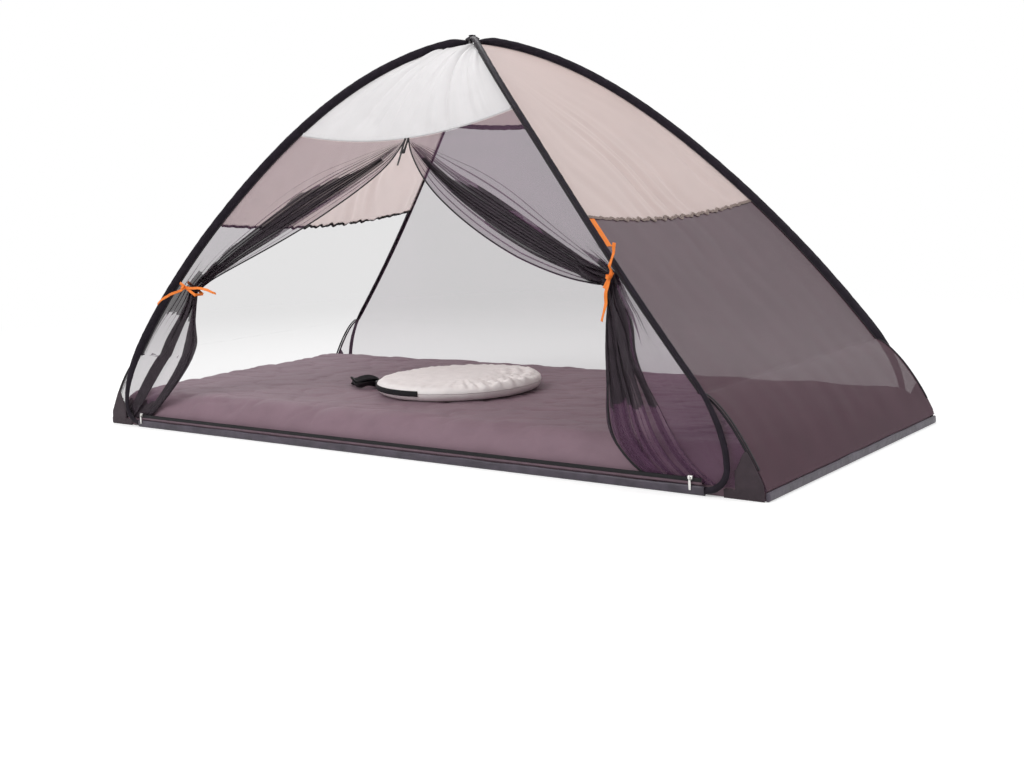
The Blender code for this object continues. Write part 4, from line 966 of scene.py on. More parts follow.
def build_panels():
    front_panel()
    back_panel()
    for name, side in (("right", 1), ("left", -1)):
        end_panel(name, side)
        end_net(name, side)
    back_net()
    build_seam_bands()


# Curtains

def leg_edge_x(z):
    return leg_x(leg_share_at(z)) - EDGE_INSET


def free_edge_x(z, shape):
    """Where the free edge of a curtain hangs below the tie."""
    hem = float(leg_z(1.0))
    left = np.clip(1 - (z - hem) / (shape["sweep_top"] - hem), 0.0, 1.0)
    return shape["fall_x"] + (shape["foot_x"] - shape["fall_x"]) * left ** shape["power"]


def curtain_top(a, side):
    u = np.full_like(a, FRONT_SEAM_share + SEAM_GAP_share)
    door = side * DOOR_SPLIT + DOOR_X
    s = mix(side, door / leg_x(u), a)
    u = u - FRONT_TILT_share * s
    return long_face(u, s, -1, FRONT_DIP_share, FRONT_SAG)


def curtain_knot(a, shape):
    z = shape["knot_z"] + BUNDLE_RISE * (1 - a)
    x = shape["side"] * mix(leg_edge_x(z), free_edge_x(z, shape), a)
    return np.stack([x, front_y_at(z), z], -1)


def cloth_share(a):
    """The net bunches towards its free edge as it is drawn aside."""
    return 1 - (1 - a) ** BUNCH_POWER_share


def drape_upper(a, t, shape):
    """The face of the curtain between its seam (t 0) and the tie (t 1), before its folds."""
    side = shape["side"]
    a = mix(a, cloth_share(a), smooth(t / BUNCH_REACH_share))
    top = curtain_top(a, side)
    knot = curtain_knot(a, shape)
    slack = a ** SLACK_POWER_share
    run = knot[..., 0] - top[..., 0]
    fall = top[..., 2] - knot[..., 2]
    none = np.zeros_like(run)
    lead_fall = -fall * mix(1 / 3, LEAD_Z_share, slack)
    lead = np.stack([run * mix(1 / 3, LEAD_X_share, slack), none, lead_fall], -1)
    trail_fall = -fall * mix(1 / 3, shape["trail_z"], slack)
    trail = np.stack([run * mix(1 / 3, TRAIL_X_share, slack), none, trail_fall], -1)
    w = t[..., None]
    p = top * (1 - w) ** 3 + (top + lead) * 3 * w * (1 - w) ** 2
    p = p + (knot - trail) * 3 * w * w * (1 - w) + knot * w ** 3
    away = leg_edge_x(knot[..., 2]) - np.abs(knot[..., 0])
    x = mix(p[..., 0], side * (leg_edge_x(p[..., 2]) - away * t), 1 - smooth(a / SEWN_share))
    z = p[..., 2]
    sagged = (top[..., 1] - front_y_at(top[..., 2])) * (1 - smooth(2 * t))
    return np.stack([x, front_y_at(z) + sagged, z], -1)


def drape_lower(a, t, shape):
    """The face of the curtain between the tie (t 0) and the hem (t 1), before its folds."""
    bunched = cloth_share(a)
    knot_z = curtain_knot(bunched, shape)[..., 2]
    z = mix(knot_z, float(leg_z(1.0)), t)
    outer = leg_edge_x(z)
    free = free_edge_x(z, shape)
    flat = shape["flat"]
    width = mix(shape["fall_width"], shape["fall_low"], smooth((FALL_TOP - z) / FALL_SPREAD))
    dense = np.minimum(width / (outer - free), 1 - flat)
    gathered = np.where(a < flat, a / flat * (1 - dense), 1 - dense + dense * (a - flat) / (1 - flat))
    share = mix(bunched, gathered, smooth((knot_z - z) / FALL_BLEND))
    return np.stack([shape["side"] * mix(outer, free, share), front_y_at(z), z], -1)


def tie_tuck(a):
    """The net beside the leg stays flatter at the tie than the net that is drawn aside."""
    return 0.50 * mix(0.25, 1.0, smooth((a - 0.22) / 0.22))


def pleats(a, row, shape):
    """Where each fold lies: (count, phase) of a few deep folds and of the finer ones on them."""
    seed = shape["seed"]
    strands = shape["strands"]
    drift = noise_at(a * 3.1, row * 0.9, seed)
    fine_drift = noise_at(a * 3.1 * 2.3, row * 0.9 * 1.7, seed + 3)
    a = a + EDGE_CROWD_share * a ** 6
    deep = strands * (a + 0.045 * np.sin(11 * a + 1.3 * seed)) + shape["drift"] * drift
    fine = FINE_FOLDS * (a + 0.018 * np.sin(23 * a + seed)) + 0.55 * fine_drift + 0.3 * drift
    return (strands, math.tau * deep), (FINE_FOLDS, math.tau * fine)


def fold_curtain(face, a, folds, depth, tuck, shape, bunch=0.0):
    """Pleats: the net goes back and forth in depth, doubles over along the face and bunches into strands."""
    span = np.gradient(face, axis=1) / np.gradient(a, axis=1)[..., None]
    inside = smooth(a / GATHER_START_share)
    edges = inside * smooth((1 - a) / 0.03)
    strands, strand = folds[0]
    points = face - span * (bunch * edges * np.sin(strand) / (math.tau * strands))[..., None]
    packed = mix(1.0, (1 + np.cos(strand)) * 0.9, np.clip(bunch * 1.3, 0, 1))
    for (count, phase), share, part in zip(folds, (0.58, 0.42), (shape["broad"], packed)):
        points += span * (tuck * edges * part * np.sin(2 * phase) / count)[..., None]
        points[..., 1] += depth * share * inside * (1 - np.cos(phase)) / 2
    return points


def face_depth(x, z, shape):
    """How far back the front face lies, with the sag of the white panel's edge above."""
    top = curtain_top(np.linspace(1, 0, 80), shape["side"])
    sag = top[:, 1] - front_y_at(top[:, 2])
    along_top = shape["side"] * top[:, 0]
    under = np.interp(shape["side"] * x, along_top, top[:, 2]) - z
    return np.interp(shape["side"] * x, along_top, sag) * (1 - smooth(under / SAG_FADE)) + front_y_at(z)


def fan_lines(shape):
    """The free edge, the line of the pull and the sewn edge, each from the zip's end to the tie."""
    side = shape["side"]
    top = curtain_top(np.linspace(1, 0, 80), side)
    free_tie, sewn_tie = curtain_knot(np.array([1.0, 0.0]), shape)
    free = resample(drape_upper(np.ones(200), np.linspace(0, 1, 200), shape), UPPER_ROWS)
    z = np.linspace(top[-1, 2], sewn_tie[2], 90)[1:]
    leg = np.stack([side * leg_edge_x(z), front_y_at(z), z], -1)
    sewn = resample(np.concatenate([top, leg]), UPPER_ROWS)
    share = np.linspace(0, 1, UPPER_ROWS)
    tie = mix(sewn_tie, free_tie, cloth_share(SEWN_COLUMNS_share))
    pull = mix(top[0], tie, share[:, None])
    pull[:, 2] += shape["pull_rise"] * 4 * share * (1 - share)
    soft = sewn.copy()
    for row in range(UPPER_ROWS):
        reach = int(min(row, UPPER_ROWS - 1 - row, UPPER_ROWS * 0.16))
        soft[row] = sewn[row - reach:row + reach + 1].mean(axis=0)
    return free, pull, sewn, soft


def fan_face(b, lines):
    """The drawn-aside net: b is 1 on the free edge, 0 on the line of the pull, -1 on the sewn edge."""
    free, pull, sewn, soft = (line[:, None, :] for line in lines)
    below = np.clip(b, 0, None)[..., None]
    above = np.clip(-b, 0, 1)[..., None]
    return pull * (1 - below - above) + free * below + soft * above + (sewn - soft) * above ** 5


def upper_curtain(shape):
    """The net from its seam to the tie, and where it is bunched, which takes the denser net with its painted
    shade. Its folds fan out from the zip's end.
    """
    a, s = np.meshgrid(np.linspace(0, 1, CURTAIN_COLUMNS), np.linspace(0, 1, UPPER_ROWS))
    seed = shape["seed"]
    lines = fan_lines(shape)
    b = np.interp(a, (0.0, SEWN_COLUMNS_share, BAND_COLUMNS_share, 1.0), (-1.0, 0.0, BAND_END_share, 1.0))
    count = np.interp(b, FAN_PLACES_share, FAN_FOLDS) + 0.30 * noise_at(1.3 * s, 3.0 * a, seed)
    count = count + 0.12 * np.sin(math.tau * 0.37 * count + seed)
    phase = math.tau * count
    steps = np.diff(FAN_FOLDS) / np.diff(FAN_PLACES_share)
    density = steps[np.clip(np.digitize(b, FAN_PLACES_share) - 1, 0, len(steps) - 1)]
    in_band = smooth((b + 0.05) / 0.07) * smooth((BAND_END_share + 0.03 - b) / 0.08)
    to_tie = smooth((s - 0.82) / 0.17)
    inside = smooth(a / GATHER_START_share)
    sewn_overlap = 1.75 * smooth((b + 0.36) / 0.22) * smooth(s / 0.12)
    edge_overlap = 1.8 * smooth((1 - b) / 0.12) * smooth(s / 0.2)
    beside_band = np.where(b < 0, sewn_overlap, edge_overlap)
    overlap = mix(beside_band, mix(1.6, 4.6, smooth((s - 0.10) / 0.40)), in_band)
    overlap = overlap * smooth(s / 0.08) * (1 - to_tie)
    face = fan_face(b + overlap / (math.tau * density) * np.sin(phase), lines)
    tied = curtain_knot(cloth_share(a), shape)
    face = face + (tied[-1:] - fan_face(b, lines)[-1:]) * smooth((s - 0.70) / 0.30)[..., None]
    face[..., 1] = face_depth(face[..., 0], face[..., 2], shape)
    deep = mix(FAN_DEPTH, BAND_DEPTH, in_band) * smooth(s / 0.12) * (1 - to_tie) * inside
    wave = FAN_WAVE * noise_at(1.6 * s, 5.0 * a, seed + 3)
    face[..., 1] += deep * (1 + np.cos(phase)) / 2 + np.abs(wave) * (inside * smooth(s / 0.15) * (1 - to_tie))
    points = fold_curtain(face, a, pleats(a, s, shape), BUNDLE_DEPTH * to_tie, tie_tuck(a) * to_tie, shape)
    ragged = b + 0.10 * noise_at(6 * s, 2.5 * b, seed + 7)
    low = mix(0.34, -0.03, smooth((s - 0.12) / 0.35))
    high = mix(0.55, 0.74, smooth((s - 0.15) / 0.60))
    band = (ragged > low) & (ragged < high) & (s > 0.12)
    return points, band | ((s > 0.93) & (a > 0.2))


def lower_curtain(shape):
    """The net from the tie to the hem, and where it is bunched, which takes the denser net with its painted
    shade.
    """
    a, t = np.meshgrid(np.linspace(0, 1, CURTAIN_COLUMNS), np.linspace(0, 1, LOWER_ROWS)[1:])
    face = drape_lower(a, t, shape)
    z = face[..., 2]
    below = smooth((shape["knot_z"] - z) / BUNCH_FADE)
    in_fall = smooth((a - shape["flat"] + 0.10) / 0.14)
    room = np.clip((z - ROOM_START) * ROOM_share, EDGE_INSET, FOLD_DEPTH)
    depth = mix(BUNDLE_DEPTH, room, smooth(3 * t)) * mix(1.0, mix(0.4, 1.0, in_fall), below)
    calm = shape["calm"] * smooth((CALM_TOP - z) / CALM_SPREAD)
    bunch = 0.85 * below * in_fall * mix(1.0, 0.3, calm)
    tuck = tie_tuck(a) * mix(1.0, mix(0.10, 1.0, in_fall), below) * mix(1.0, 0.75, smooth(1.5 * t))
    tuck = tuck * mix(1.0, 1.5, below * in_fall) * mix(1.0, 0.40, calm)
    folds = pleats(a, 1 + t, shape)
    points = fold_curtain(face, a, folds, depth, tuck, shape, bunch)
    thick = np.cos(folds[0][1]) > shape["dense_strand"]
    seed = shape["seed"] + 9
    if shape["side"] < 0:
        ragged = t + 0.05 * noise_at(30 * a, 4 * t, seed)
        return points, thick | (ragged < 0.20) | (ragged > 0.87)
    ragged = t + 0.12 * noise_at(12 * a, 3 * t, seed)
    return points, (thick & (a > shape["flat"]) & (ragged < 0.62)) | ((t < 0.04) & (a > 0.2)) | (a > 0.96)


def build_curtain(name, shape):
    """A curtain with its free edge taped, and a denser, darker net on the faces where it lies bunched; its
    darker colour is painted shade inside the bunch.
    """
    upper, upper_closed = upper_curtain(shape)
    lower, lower_closed = lower_curtain(shape)
    points = np.concatenate([upper, lower], 0)
    closed = np.concatenate([upper_closed, lower_closed], 0).ravel()
    obj = grid_object(f"curtain_{name}", points, CLOTH_OF[f"net_curtain_{name}"])
    # The bunched faces get the denser net, whose darker colour is painted shade
    obj.data.materials.append(CLOTH_OF["net_bunched_painted_shade"])
    for polygon in obj.data.polygons:
        polygon.material_index = int(closed[min(polygon.vertices)])
    join_up(obj, FRONT, f"door_curtain_{name}")
    build_edge_tape(f"curtain_tape_{name}", points[:, -1], shape["side"])


def build_edge_tape(name, line, side):
    """The zip tape sewn to the free edge of a curtain."""
    across = unit(np.cross(along(line), np.array([0, -1, 0])))
    across *= np.sign(across[:, :1]) * side
    step = np.array([0, EDGE_TAPE_STEP, 0])
    columns = [line + across * (k * EDGE_TAPE_WIDTH) + step * (1 + k) for k in np.linspace(0, 1, 4)]
    points = np.stack(columns, 1)
    join_up(grid_object(name, points, ZIP, TAPE_THICK), FRONT)


# Base cover

def cover_share(distance):
    t = np.clip(distance / COVER_ROUND, 0.0, 1.0)
    return np.sqrt(1 - (1 - t) ** 2)


def edge_places(half, inner):
    """Places from one edge to the other, close together where the cover rounds over."""
    flat = half - COVER_ROUND
    turn = flat + COVER_ROUND * np.sin(np.linspace(0, math.pi / 2, 16))[1:]
    return np.concatenate([-turn[::-1], np.linspace(-flat, flat, inner), turn])


def build_cover():
    half_x = float(leg_x(1.0)) - HEM_BAND_THICK / 2 - GAP - COVER_CLOTH / 2
    half_y = float(leg_y(1.0)) - CLOTH / 2 - GAP - COVER_CLOTH / 2
    x, y = np.meshgrid(edge_places(half_x, 250), edge_places(half_y, 132))
    from_end = half_x - np.abs(x)
    from_side = half_y - np.abs(y)
    rise = COVER_HEIGHT - COVER_FLOOR_GAP - COVER_CLOTH / 2
    points = np.stack([x, y, COVER_FLOOR_GAP + rise * (cover_share(from_end) * cover_share(from_side))], -1)
    creases = np.abs(noise_of(points * np.array([1.0, 1.8, 1.0]), 8.0, 22))
    amount = waves(points, COVER_WAVES) - COVER_CREASE * np.exp(-creases * 14)
    cos = math.cos(math.radians(STREAK_DEGREES))
    sin = math.sin(math.radians(STREAK_DEGREES))
    streaks = np.stack([x * cos + y * sin, 4 * (y * cos - x * sin), points[..., 2]], -1)
    amount += waves(streaks, COVER_STREAKS) - COVER_STREAK * np.exp(-np.abs(noise_of(streaks, 4.5, 28)) * 18)
    for run, edge, count, seed in ((x, from_side, 38, 23), (y, from_end, 40, 24)):
        near = 1 - smooth(edge / RUFFLE_REACH)
        amount += COVER_RUFFLE * near * np.sin(count * run + 5 * noise_of(points, 3.0, seed))
    inside = smooth(from_end / COVER_RIM) * smooth(from_side / COVER_RIM)
    points = settle(points, (0, 0, 1), (amount - COVER_SINK) * inside)
    obj = grid_object("fitted_cover", points, CLOTH_OF["cover_cloth"], COVER_SHELL)
    join_up(obj, None, "base_cover")


# Hems and corners

def rounded_profile(wide, tall, power, sides):
    c = np.cos(round_angles(sides))
    s = np.sin(round_angles(sides))
    return np.stack([tall * np.sign(s) * np.abs(s) ** power, wide * np.sign(c) * np.abs(c) ** power], -1)


def build_hem(name, solid, axis, count, body):
    """A sewn fabric hem along the box of its solid, a little uneven."""
    low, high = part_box(solid)
    across = 1 - axis
    start = (low + high) / 2
    end = start.copy()
    start[axis] = low[axis]
    end[axis] = high[axis]
    half_wide = (high[across] - low[across]) / 2
    half_tall = (high.z - low.z) / 2
    line = np.linspace(0, 1, count)[:, None]
    centres = np.array(start) * (1 - line) + np.array(end) * line
    normals = np.tile(np.array([0.0, 0, 1]), (count, 1))
    profile = np.tile(rounded_profile(half_wide, half_tall, 0.7, 24), (count, 1, 1))
    slack = 0.90 + 0.10 * np.array([noise.noise(Vector(p) * 9.0) for p in centres])
    points = tube_points(centres, normals, along(centres), profile * slack[:, None, None])
    points[..., 2] -= (half_tall * (1 - slack))[:, None]
    free = smooth((points[..., 2] - HEM_EASE_START) / HEM_EASE)
    points = roughen(points, centres, waves(points, HEM_WAVES) * free)
    join_up(closed_object(name, points, CLOTH_OF["hem_satin"]), body, solid)


def build_hems():
    for name, body in (("front", FRONT), ("back", BACK)):
        build_hem(f"tunnel_{name}", f"hem_{name}", 0, 240, body)
    for name in ("left", "right"):
        build_hem(f"end_hem_{name}", f"hem_{name}", 1, 120, None)


def build_pad(name, middle, depth, body, solid=None):
    """A soft closed patch round a grid of middle points, full inside and thin at its rim."""
    rows, columns = middle.shape[:2]
    i = np.minimum(np.arange(rows), np.arange(rows)[::-1])[:, None]
    j = np.minimum(np.arange(columns), np.arange(columns)[::-1])[None, :]
    rim = np.sqrt(1 - (1 - np.clip(np.minimum(i, j) / 4.0, 0, 1)) ** 2)
    swell = 1 + 0.25 * noise_of(middle, 60.0, 4)
    lift = np.array((0, 1.0, 0)) * (depth / 2 * rim * swell)[..., None]
    grid = np.concatenate([middle + lift, (middle - lift)[:, ::-1]], 1)
    join_up(grid_object(name, grid, CLOTH_OF["corner_cloth"], wrap=True), body, solid)


def build_corner_patches():
    """A patch of doubled cloth at each corner."""
    end_x = float(leg_x(1.0)) - HEM_BAND_THICK / 2 - GAP
    shares = np.linspace(0.90, 1.0, 60)
    for leg, signs in LEGS.items():
        low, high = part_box(f"corner_patch_{leg}")
        y = (low.y + high.y) / 2
        x, t = lattice(np.linspace(PATCH_START_X, end_x, 30), np.linspace(0, 1, 26))
        under_leg = np.interp(x, leg_x(shares), leg_z(shares)) - 2 * EDGE_INSET
        slant = smooth((x - PATCH_START_X) / (0.5 * (end_x - PATCH_START_X)))
        top = np.maximum(np.minimum(under_leg, high.z) * mix(0.45, 1.0, slant), HEM_HEIGHT * 0.8)
        middle = np.stack([signs[0] * x, np.full_like(x, y), mix(low.z, top, t)], -1)
        build_pad(f"corner_pad_{leg}", middle, high.y - low.y, half_of(signs), f"corner_patch_{leg}")


def build_corner_edges():
    """The elastic edge of the cover, from each corner patch to the hem tunnel."""
    for leg, signs in LEGS.items():
        low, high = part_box(f"corner_patch_{leg}")
        y = (low.y + high.y) / 2
        x, t = lattice(np.linspace(EDGE_START_X, EDGE_END_X, 24), np.linspace(0, 1, 8))
        ruffle = EDGE_RUFFLE * np.sin(math.tau * x / EDGE_RUFFLE_LENGTH)
        middle = np.stack([signs[0] * x, y + 0 * x, mix(low.z, HEM_HEIGHT * 0.9, t) + ruffle * t], -1)
        build_pad(f"cover_edge_{leg}", middle, EDGE_THICK, half_of(signs))


def build_apex():
    """A soft cap over the crossing and the flat loop sewn on it."""
    low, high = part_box("apex_patch")
    radius = (high.x - low.x) / 2
    r, angle = lattice(np.linspace(0.02, 1, 16), round_angles(48))
    sleeve_angle = math.atan2(float(leg_y(0.1)), float(leg_x(0.1)))
    along_sleeve = np.abs(np.cos(2 * (angle - sleeve_angle)))
    drop = APEX_DROP * r ** 2 * (1.15 - 0.55 * along_sleeve)
    z = high.z + APEX_LIFT - drop + APEX_ROUGH * noise_at(r * np.cos(angle), r * np.sin(angle), 6, 5.0)
    points = np.stack([radius * 1.1 * r * np.cos(angle), radius * r * np.sin(angle), z], -1)
    cap = grid_object("apex_cap", points, BLACK, APEX_THICK, wrap=True)
    join_up(cap, FRONT, "apex_patch")
    low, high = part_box("apex_loop")
    turn = np.radians(np.linspace(-80, 240, 60))
    lean = 1 - np.cos(turn + math.radians(10))
    tall = (high.z - low.z - RIBBON_THICK) * 0.10
    half = (high.x - low.x) / 2 - RIBBON_THICK
    line = np.stack([-half * np.sin(turn), 0 * turn, low.z + RIBBON_THICK * 0.6 + tall * lean], -1)
    build_ribbon("apex_tab", line, (0, 1.0, 0), high.y - low.y, APEX_THICK, "black_satin", "sleeve_fabric",
                 FRONT, "apex_loop")


# Ribbons

def build_ribbon(name, points, sides, width, thick, cloth, slot, body, solid=None, cup=RIBBON_CUP, seed=1):
    """A flat ribbon whose middle follows points and whose width lies along sides."""
    sides = np.broadcast_to(np.array(sides, dtype=float), points.shape)
    direction = along(points)
    sides = unit(sides - direction * np.sum(sides * direction, axis=1, keepdims=True))
    flat = np.cross(direction, sides)
    columns = []
    for k in np.linspace(-1, 1, 7):
        fray = RIBBON_FRAY * noise_of(points + 3 * k, 160.0, seed)[:, None] * abs(k)
        columns.append(points + sides * (k * width / 2 + fray) + flat * (cup * k * k))
    join_up(grid_object(name, np.stack(columns, 1), CLOTH_OF[cloth], thick), body, solid)


def tie_tail_line(start, front_y, side, bearing, length, layer, lift):
    """The way of a ribbon end, as in the frame, with a few gentle waves."""
    way = np.array([side * math.cos(math.radians(bearing)), 0, math.sin(math.radians(bearing))])
    t = np.linspace(0, 1, 60)
    x = start[0] + way[0] * length * t
    z = start[2] + way[2] * length * t - TAIL_DROOP * t * t
    cloth = np.minimum(front_y, front_y_at(z) - BAND_CLEARANCE)
    raised = lift * smooth((t - TAIL_LEVEL_share) / TAIL_CLIMB_share)
    wave = TAIL_WAVE * np.sin(2.3 * math.pi * t + layer) * smooth(2 * t)
    y = cloth - (RIBBON_THICK + GAP) * layer - raised - np.abs(wave)
    bend = TAIL_BEND * np.sin(1.7 * math.pi * t + 2 * layer) * smooth(2 * t)
    points = np.stack([x - way[2] * bend, y, z + side * way[0] * bend], -1)
    twist = (0.5 * np.sin(2.1 * math.pi * t + layer) * smooth(2 * t))[:, None]
    sides = np.array([[-way[2], 0, way[0]]]) * np.cos(twist) + np.array([[0, -1.0, 0]]) * np.sin(twist)
    return points, sides


def build_tie(name, shape, tails):
    """A ribbon round the bunched curtain, its knot in front and two loose ends."""
    near = curtain_knot(np.array(0.0), shape)
    free = curtain_knot(np.array(1.0), shape)
    front_y = float(front_y_at(free[2] - RIBBON_WIDTH)) - BAND_CLEARANCE
    back_y = max(near[1], free[1]) + BUNDLE_DEPTH + BAND_CLEARANCE
    across = np.array([free[0] - near[0], 0, free[2] - near[2]])
    across /= np.linalg.norm(across)
    start = near + across * BAND_START
    tip = free + across * BAND_END_CLEARANCE
    turn = tip - across * BAND_TURN
    half = (start + turn) / 2
    stops = ((start, front_y), (half, front_y - BAND_BOW), (turn, front_y), (tip, front_y + BAND_TURN),
             (tip, back_y - BAND_TURN), (turn, back_y), (half, back_y + BAND_BOW), (start, back_y))
    band = resample([(place[0], y, place[2]) for place, y in stops], 120)
    ribbon = (RIBBON_THICK, "orange_ribbon", "orange_ribbon", FRONT)
    build_ribbon(f"ribbon_{name}_band", band, (across[2], 0, -across[0]), RIBBON_WIDTH, *ribbon,
                 f"tie_{name}_band")
    middle = (near + free) / 2
    for layer, (label, (bearing, length, lift)) in enumerate(tails.items(), 1):
        points, sides = tie_tail_line(middle, front_y, shape["side"], bearing, length, layer, lift)
        build_ribbon(f"ribbon_{name}_{label}", points, sides, RIBBON_WIDTH * 0.85, *ribbon,
                     f"tie_{name}_tail_{label}", seed=layer)
    knot_y = front_y - 2 * (RIBBON_THICK + GAP) - RIBBON_THICK / 2 - GAP - KNOT_SIZE / 2
    build_knot(name, np.array([middle[0], knot_y, middle[2]]), across)


def build_knot(name, centre, across):
    """An overhand knot: two turns of ribbon over a rounded core."""
    upright = np.cross(across, np.array([0, 1.0, 0]))
    angle, ring = lattice(np.linspace(0, math.pi, 14), round_angles(24))
    core = (across * (np.cos(angle) * 0.55)[..., None]
            + upright * (np.sin(angle) * np.cos(ring) * 0.40)[..., None]
            + np.array([0, 1.0, 0]) * (np.sin(angle) * np.sin(ring) * 0.42)[..., None]) * KNOT_SIZE + centre
    core += KNOT_ROUGH * noise_of(core, 300.0, 2)[..., None] * (core - centre) / KNOT_SIZE
    knot = grid_object(f"ribbon_{name}_core", core, ORANGE, wrap=True)
    join_up(knot, FRONT, f"tie_{name}_knot")
    turns = np.linspace(0, 4 * math.pi, 90)
    slant = across * 0.30 + upright * 0.12
    wrap = centre + (np.cos(turns)[:, None] * upright * 0.46 + np.sin(turns)[:, None] * np.array([0, 0.46, 0])
                     + ((turns / (4 * math.pi) - 0.5) * 0.5)[:, None] * slant) * KNOT_SIZE
    build_ribbon(f"ribbon_{name}_wrap", wrap, across + 0.35 * upright, KNOT_SIZE * 0.62, RIBBON_THICK * 0.9,
                 "orange_ribbon", "orange_ribbon", FRONT, cup=-RIBBON_CUP)


def build_label():
    """The blank tab in the seam of the front right leg, a folded ribbon."""
    u, j = lattice(np.linspace(*LABEL_SPAN_shares, 40), np.linspace(0, 1, 14))
    inward = EDGE_INSET + LABEL_STANDOFF + LABEL_WIDTH * j
    curl = LABEL_CURL * j ** 1.5 + LABEL_ROUGH * noise_at(u, j, 3, 14.0)
    points = np.stack([leg_x(u) + LABEL_STANDOFF + curl, -leg_y(u) + inward, leg_z(u)], -1)
    join_up(grid_object("ribbon_label", points, ORANGE, TAPE_THICK), FRONT, "label_tab")


# Zips

def build_coil(name, line, out, radius, pitch, body):
    """The coil of a zip: a close row of rounded teeth along a line."""
    length = float(np.linalg.norm(np.diff(line, axis=0), axis=1).sum())
    count = int(length / pitch) * 4
    line = resample(line, count)
    beat = 0.72 + 0.28 * np.sin(np.linspace(0, math.tau * count / 4, count))
    angles = round_angles(6)
    profile = np.stack([np.cos(angles)[None, :] * radius * beat[:, None],
                        np.sin(angles)[None, :] * radius * beat[:, None]], -1)
    points = tube_points(line, resample(out, count), along(line), profile)
    join_up(closed_object(name, points, ZIP), body)


def build_hem_zip():
    """The flap that holds the hem zip, with its tape and coil along the top."""
    low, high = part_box("hem_zip_tape")
    y = (low.y + high.y) / 2
    x = np.linspace(low.x, high.x, 300)
    centre_z = high.z - COIL_SIZE / 2
    bend = sum(height * np.sin(math.tau * x / length + start) for height, length, start in STRIP_BENDS)
    rows = [np.stack([x, y + bend * share * (1 - share), mix(low.z, centre_z, share) + 0 * x], -1)
            for share in np.linspace(0, 1, 6)]
    strip = grid_object("zip_strip_front", np.stack(rows, 0), CLOTH_OF["zip_flap"], STRIP_THICK)
    join_up(strip, FRONT, "hem_zip_tape")
    step = np.array([0, STRIP_THICK, 0])
    edge = [rows[-1] * share + rows[0] * (1 - share) - step for share in np.linspace(0.45, 1, 5)]
    join_up(grid_object("zip_tape_front", np.stack(edge, 0), ZIP, HEM_TAPE_THICK), FRONT)
    line = np.stack([x, y + 0 * x, centre_z + 0 * x], -1)
    out = np.tile(np.array([0, -1.0, 0]), (len(x), 1))
    build_coil("zip_coil_front", line, out, COIL_SIZE / 2, COIL_PITCH, FRONT)


def build_door_zip():
    for name, sign in (("left", -1), ("right", 1)):
        low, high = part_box(f"door_zip_tape_{name}")
        t = np.linspace(0, 1, 30)
        inner, outer = (high.x, low.x) if sign < 0 else (low.x, high.x)
        wave = DOOR_TAPE_WAVE * np.sin(9 * t + sign)
        points = np.stack([np.stack([mix(inner, outer, share) + wave, mix(high.y, low.y, t),
                                     mix(high.z, low.z, t)], -1) for share in np.linspace(0, 1, 5)], 0)
        strip = grid_object(f"zip_strip_{name}", points, ZIP, TAPE_THICK)
        join_up(strip, FRONT, f"door_zip_tape_{name}")
        out = np.tile(np.array([0, -1.0, 0.5]), (len(t), 1))
        build_coil(f"zip_teeth_{name}", points[0], out, DOOR_COIL_RADIUS, DOOR_COIL_PITCH, FRONT)


# Storage bag

def bag_ring(r, top, angle, thick):
    """How far one ring of the bag is drawn in, and its height over the bag's middle."""
    right = smooth((np.cos(angle - math.radians(10)) - 0.1) / 0.8)
    spot = np.stack([np.cos(angle) * 2.2, np.sin(angle) * 2.2, np.full_like(angle, r * 1.5)], -1)
    edge = math.sqrt(max(0.0, 1 - max(0.0, (r - 0.90) / 0.10) ** 2))
    x = r * np.cos(angle)
    y = r * np.sin(angle)
    soft = BAG_SOFT * noise_at(x, y, 43, 5.0) + BAG_FINE * noise_at(x, y, 44, 14.0)
    pull = 1 - 0.010 * (0.5 + 0.5 * np.sin(23 * angle + 5 * noise_of(spot, 1.0, 46))) * right * r ** 6
    if not top:
        return pull, -thick / 2 * edge + np.abs(soft) * 0.3
    crown = mix(0.78, 1.0, float(smooth((1 - r) / 0.55)))
    heave = 1 + 0.16 * float(smooth(r / 0.5)) * (right - 0.5)
    spin = np.sin(34 * angle + 6 * noise_of(spot, 1.0, 41))
    spin += 0.6 * np.sin(61 * angle + 9 * noise_of(spot, 1.3, 42))
    fold = BAG_FOLD * spin * float(smooth((r - 0.45) / 0.5)) * (0.25 + 0.75 * right)
    beat = np.sin(46 * r + 5 * noise_of(spot, 0.8, 45))
    cross = BAG_CROSS * beat * right * float(smooth((r - 0.3) / 0.4))
    return pull, thick / 2 * edge * crown * heave + (soft + fold + cross) * edge - BAG_SINK


def build_bag():
    """A slack disc of cloth, crowned on top and creased towards its edge."""
    low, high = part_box("bag_shell")
    centre = (low + high) / 2
    radius = (high.x - low.x) / 2
    turn = 0.90 + 0.10 * np.sin(np.linspace(0, math.pi / 2, 14)[1:])
    shares = np.concatenate([np.linspace(0.02, 0.90, 60), turn])
    angle = round_angles(260)
    rows = []
    for top, ring_shares in ((True, shares), (False, shares[::-1])):
        for r in ring_shares:
            pull, height = bag_ring(r, top, angle, high.z - low.z)
            reach = radius * r * pull
            rows.append(np.stack([centre.x + reach * np.cos(angle), centre.y + reach * np.sin(angle),
                                  centre.z + height], -1))
    points = np.stack(rows, 0)
    join_up(closed_object("bag_cloth", points, CLOTH_OF["bag_cloth"]), "bag", "bag_shell")
    build_bag_zip(centre)
    build_strap()


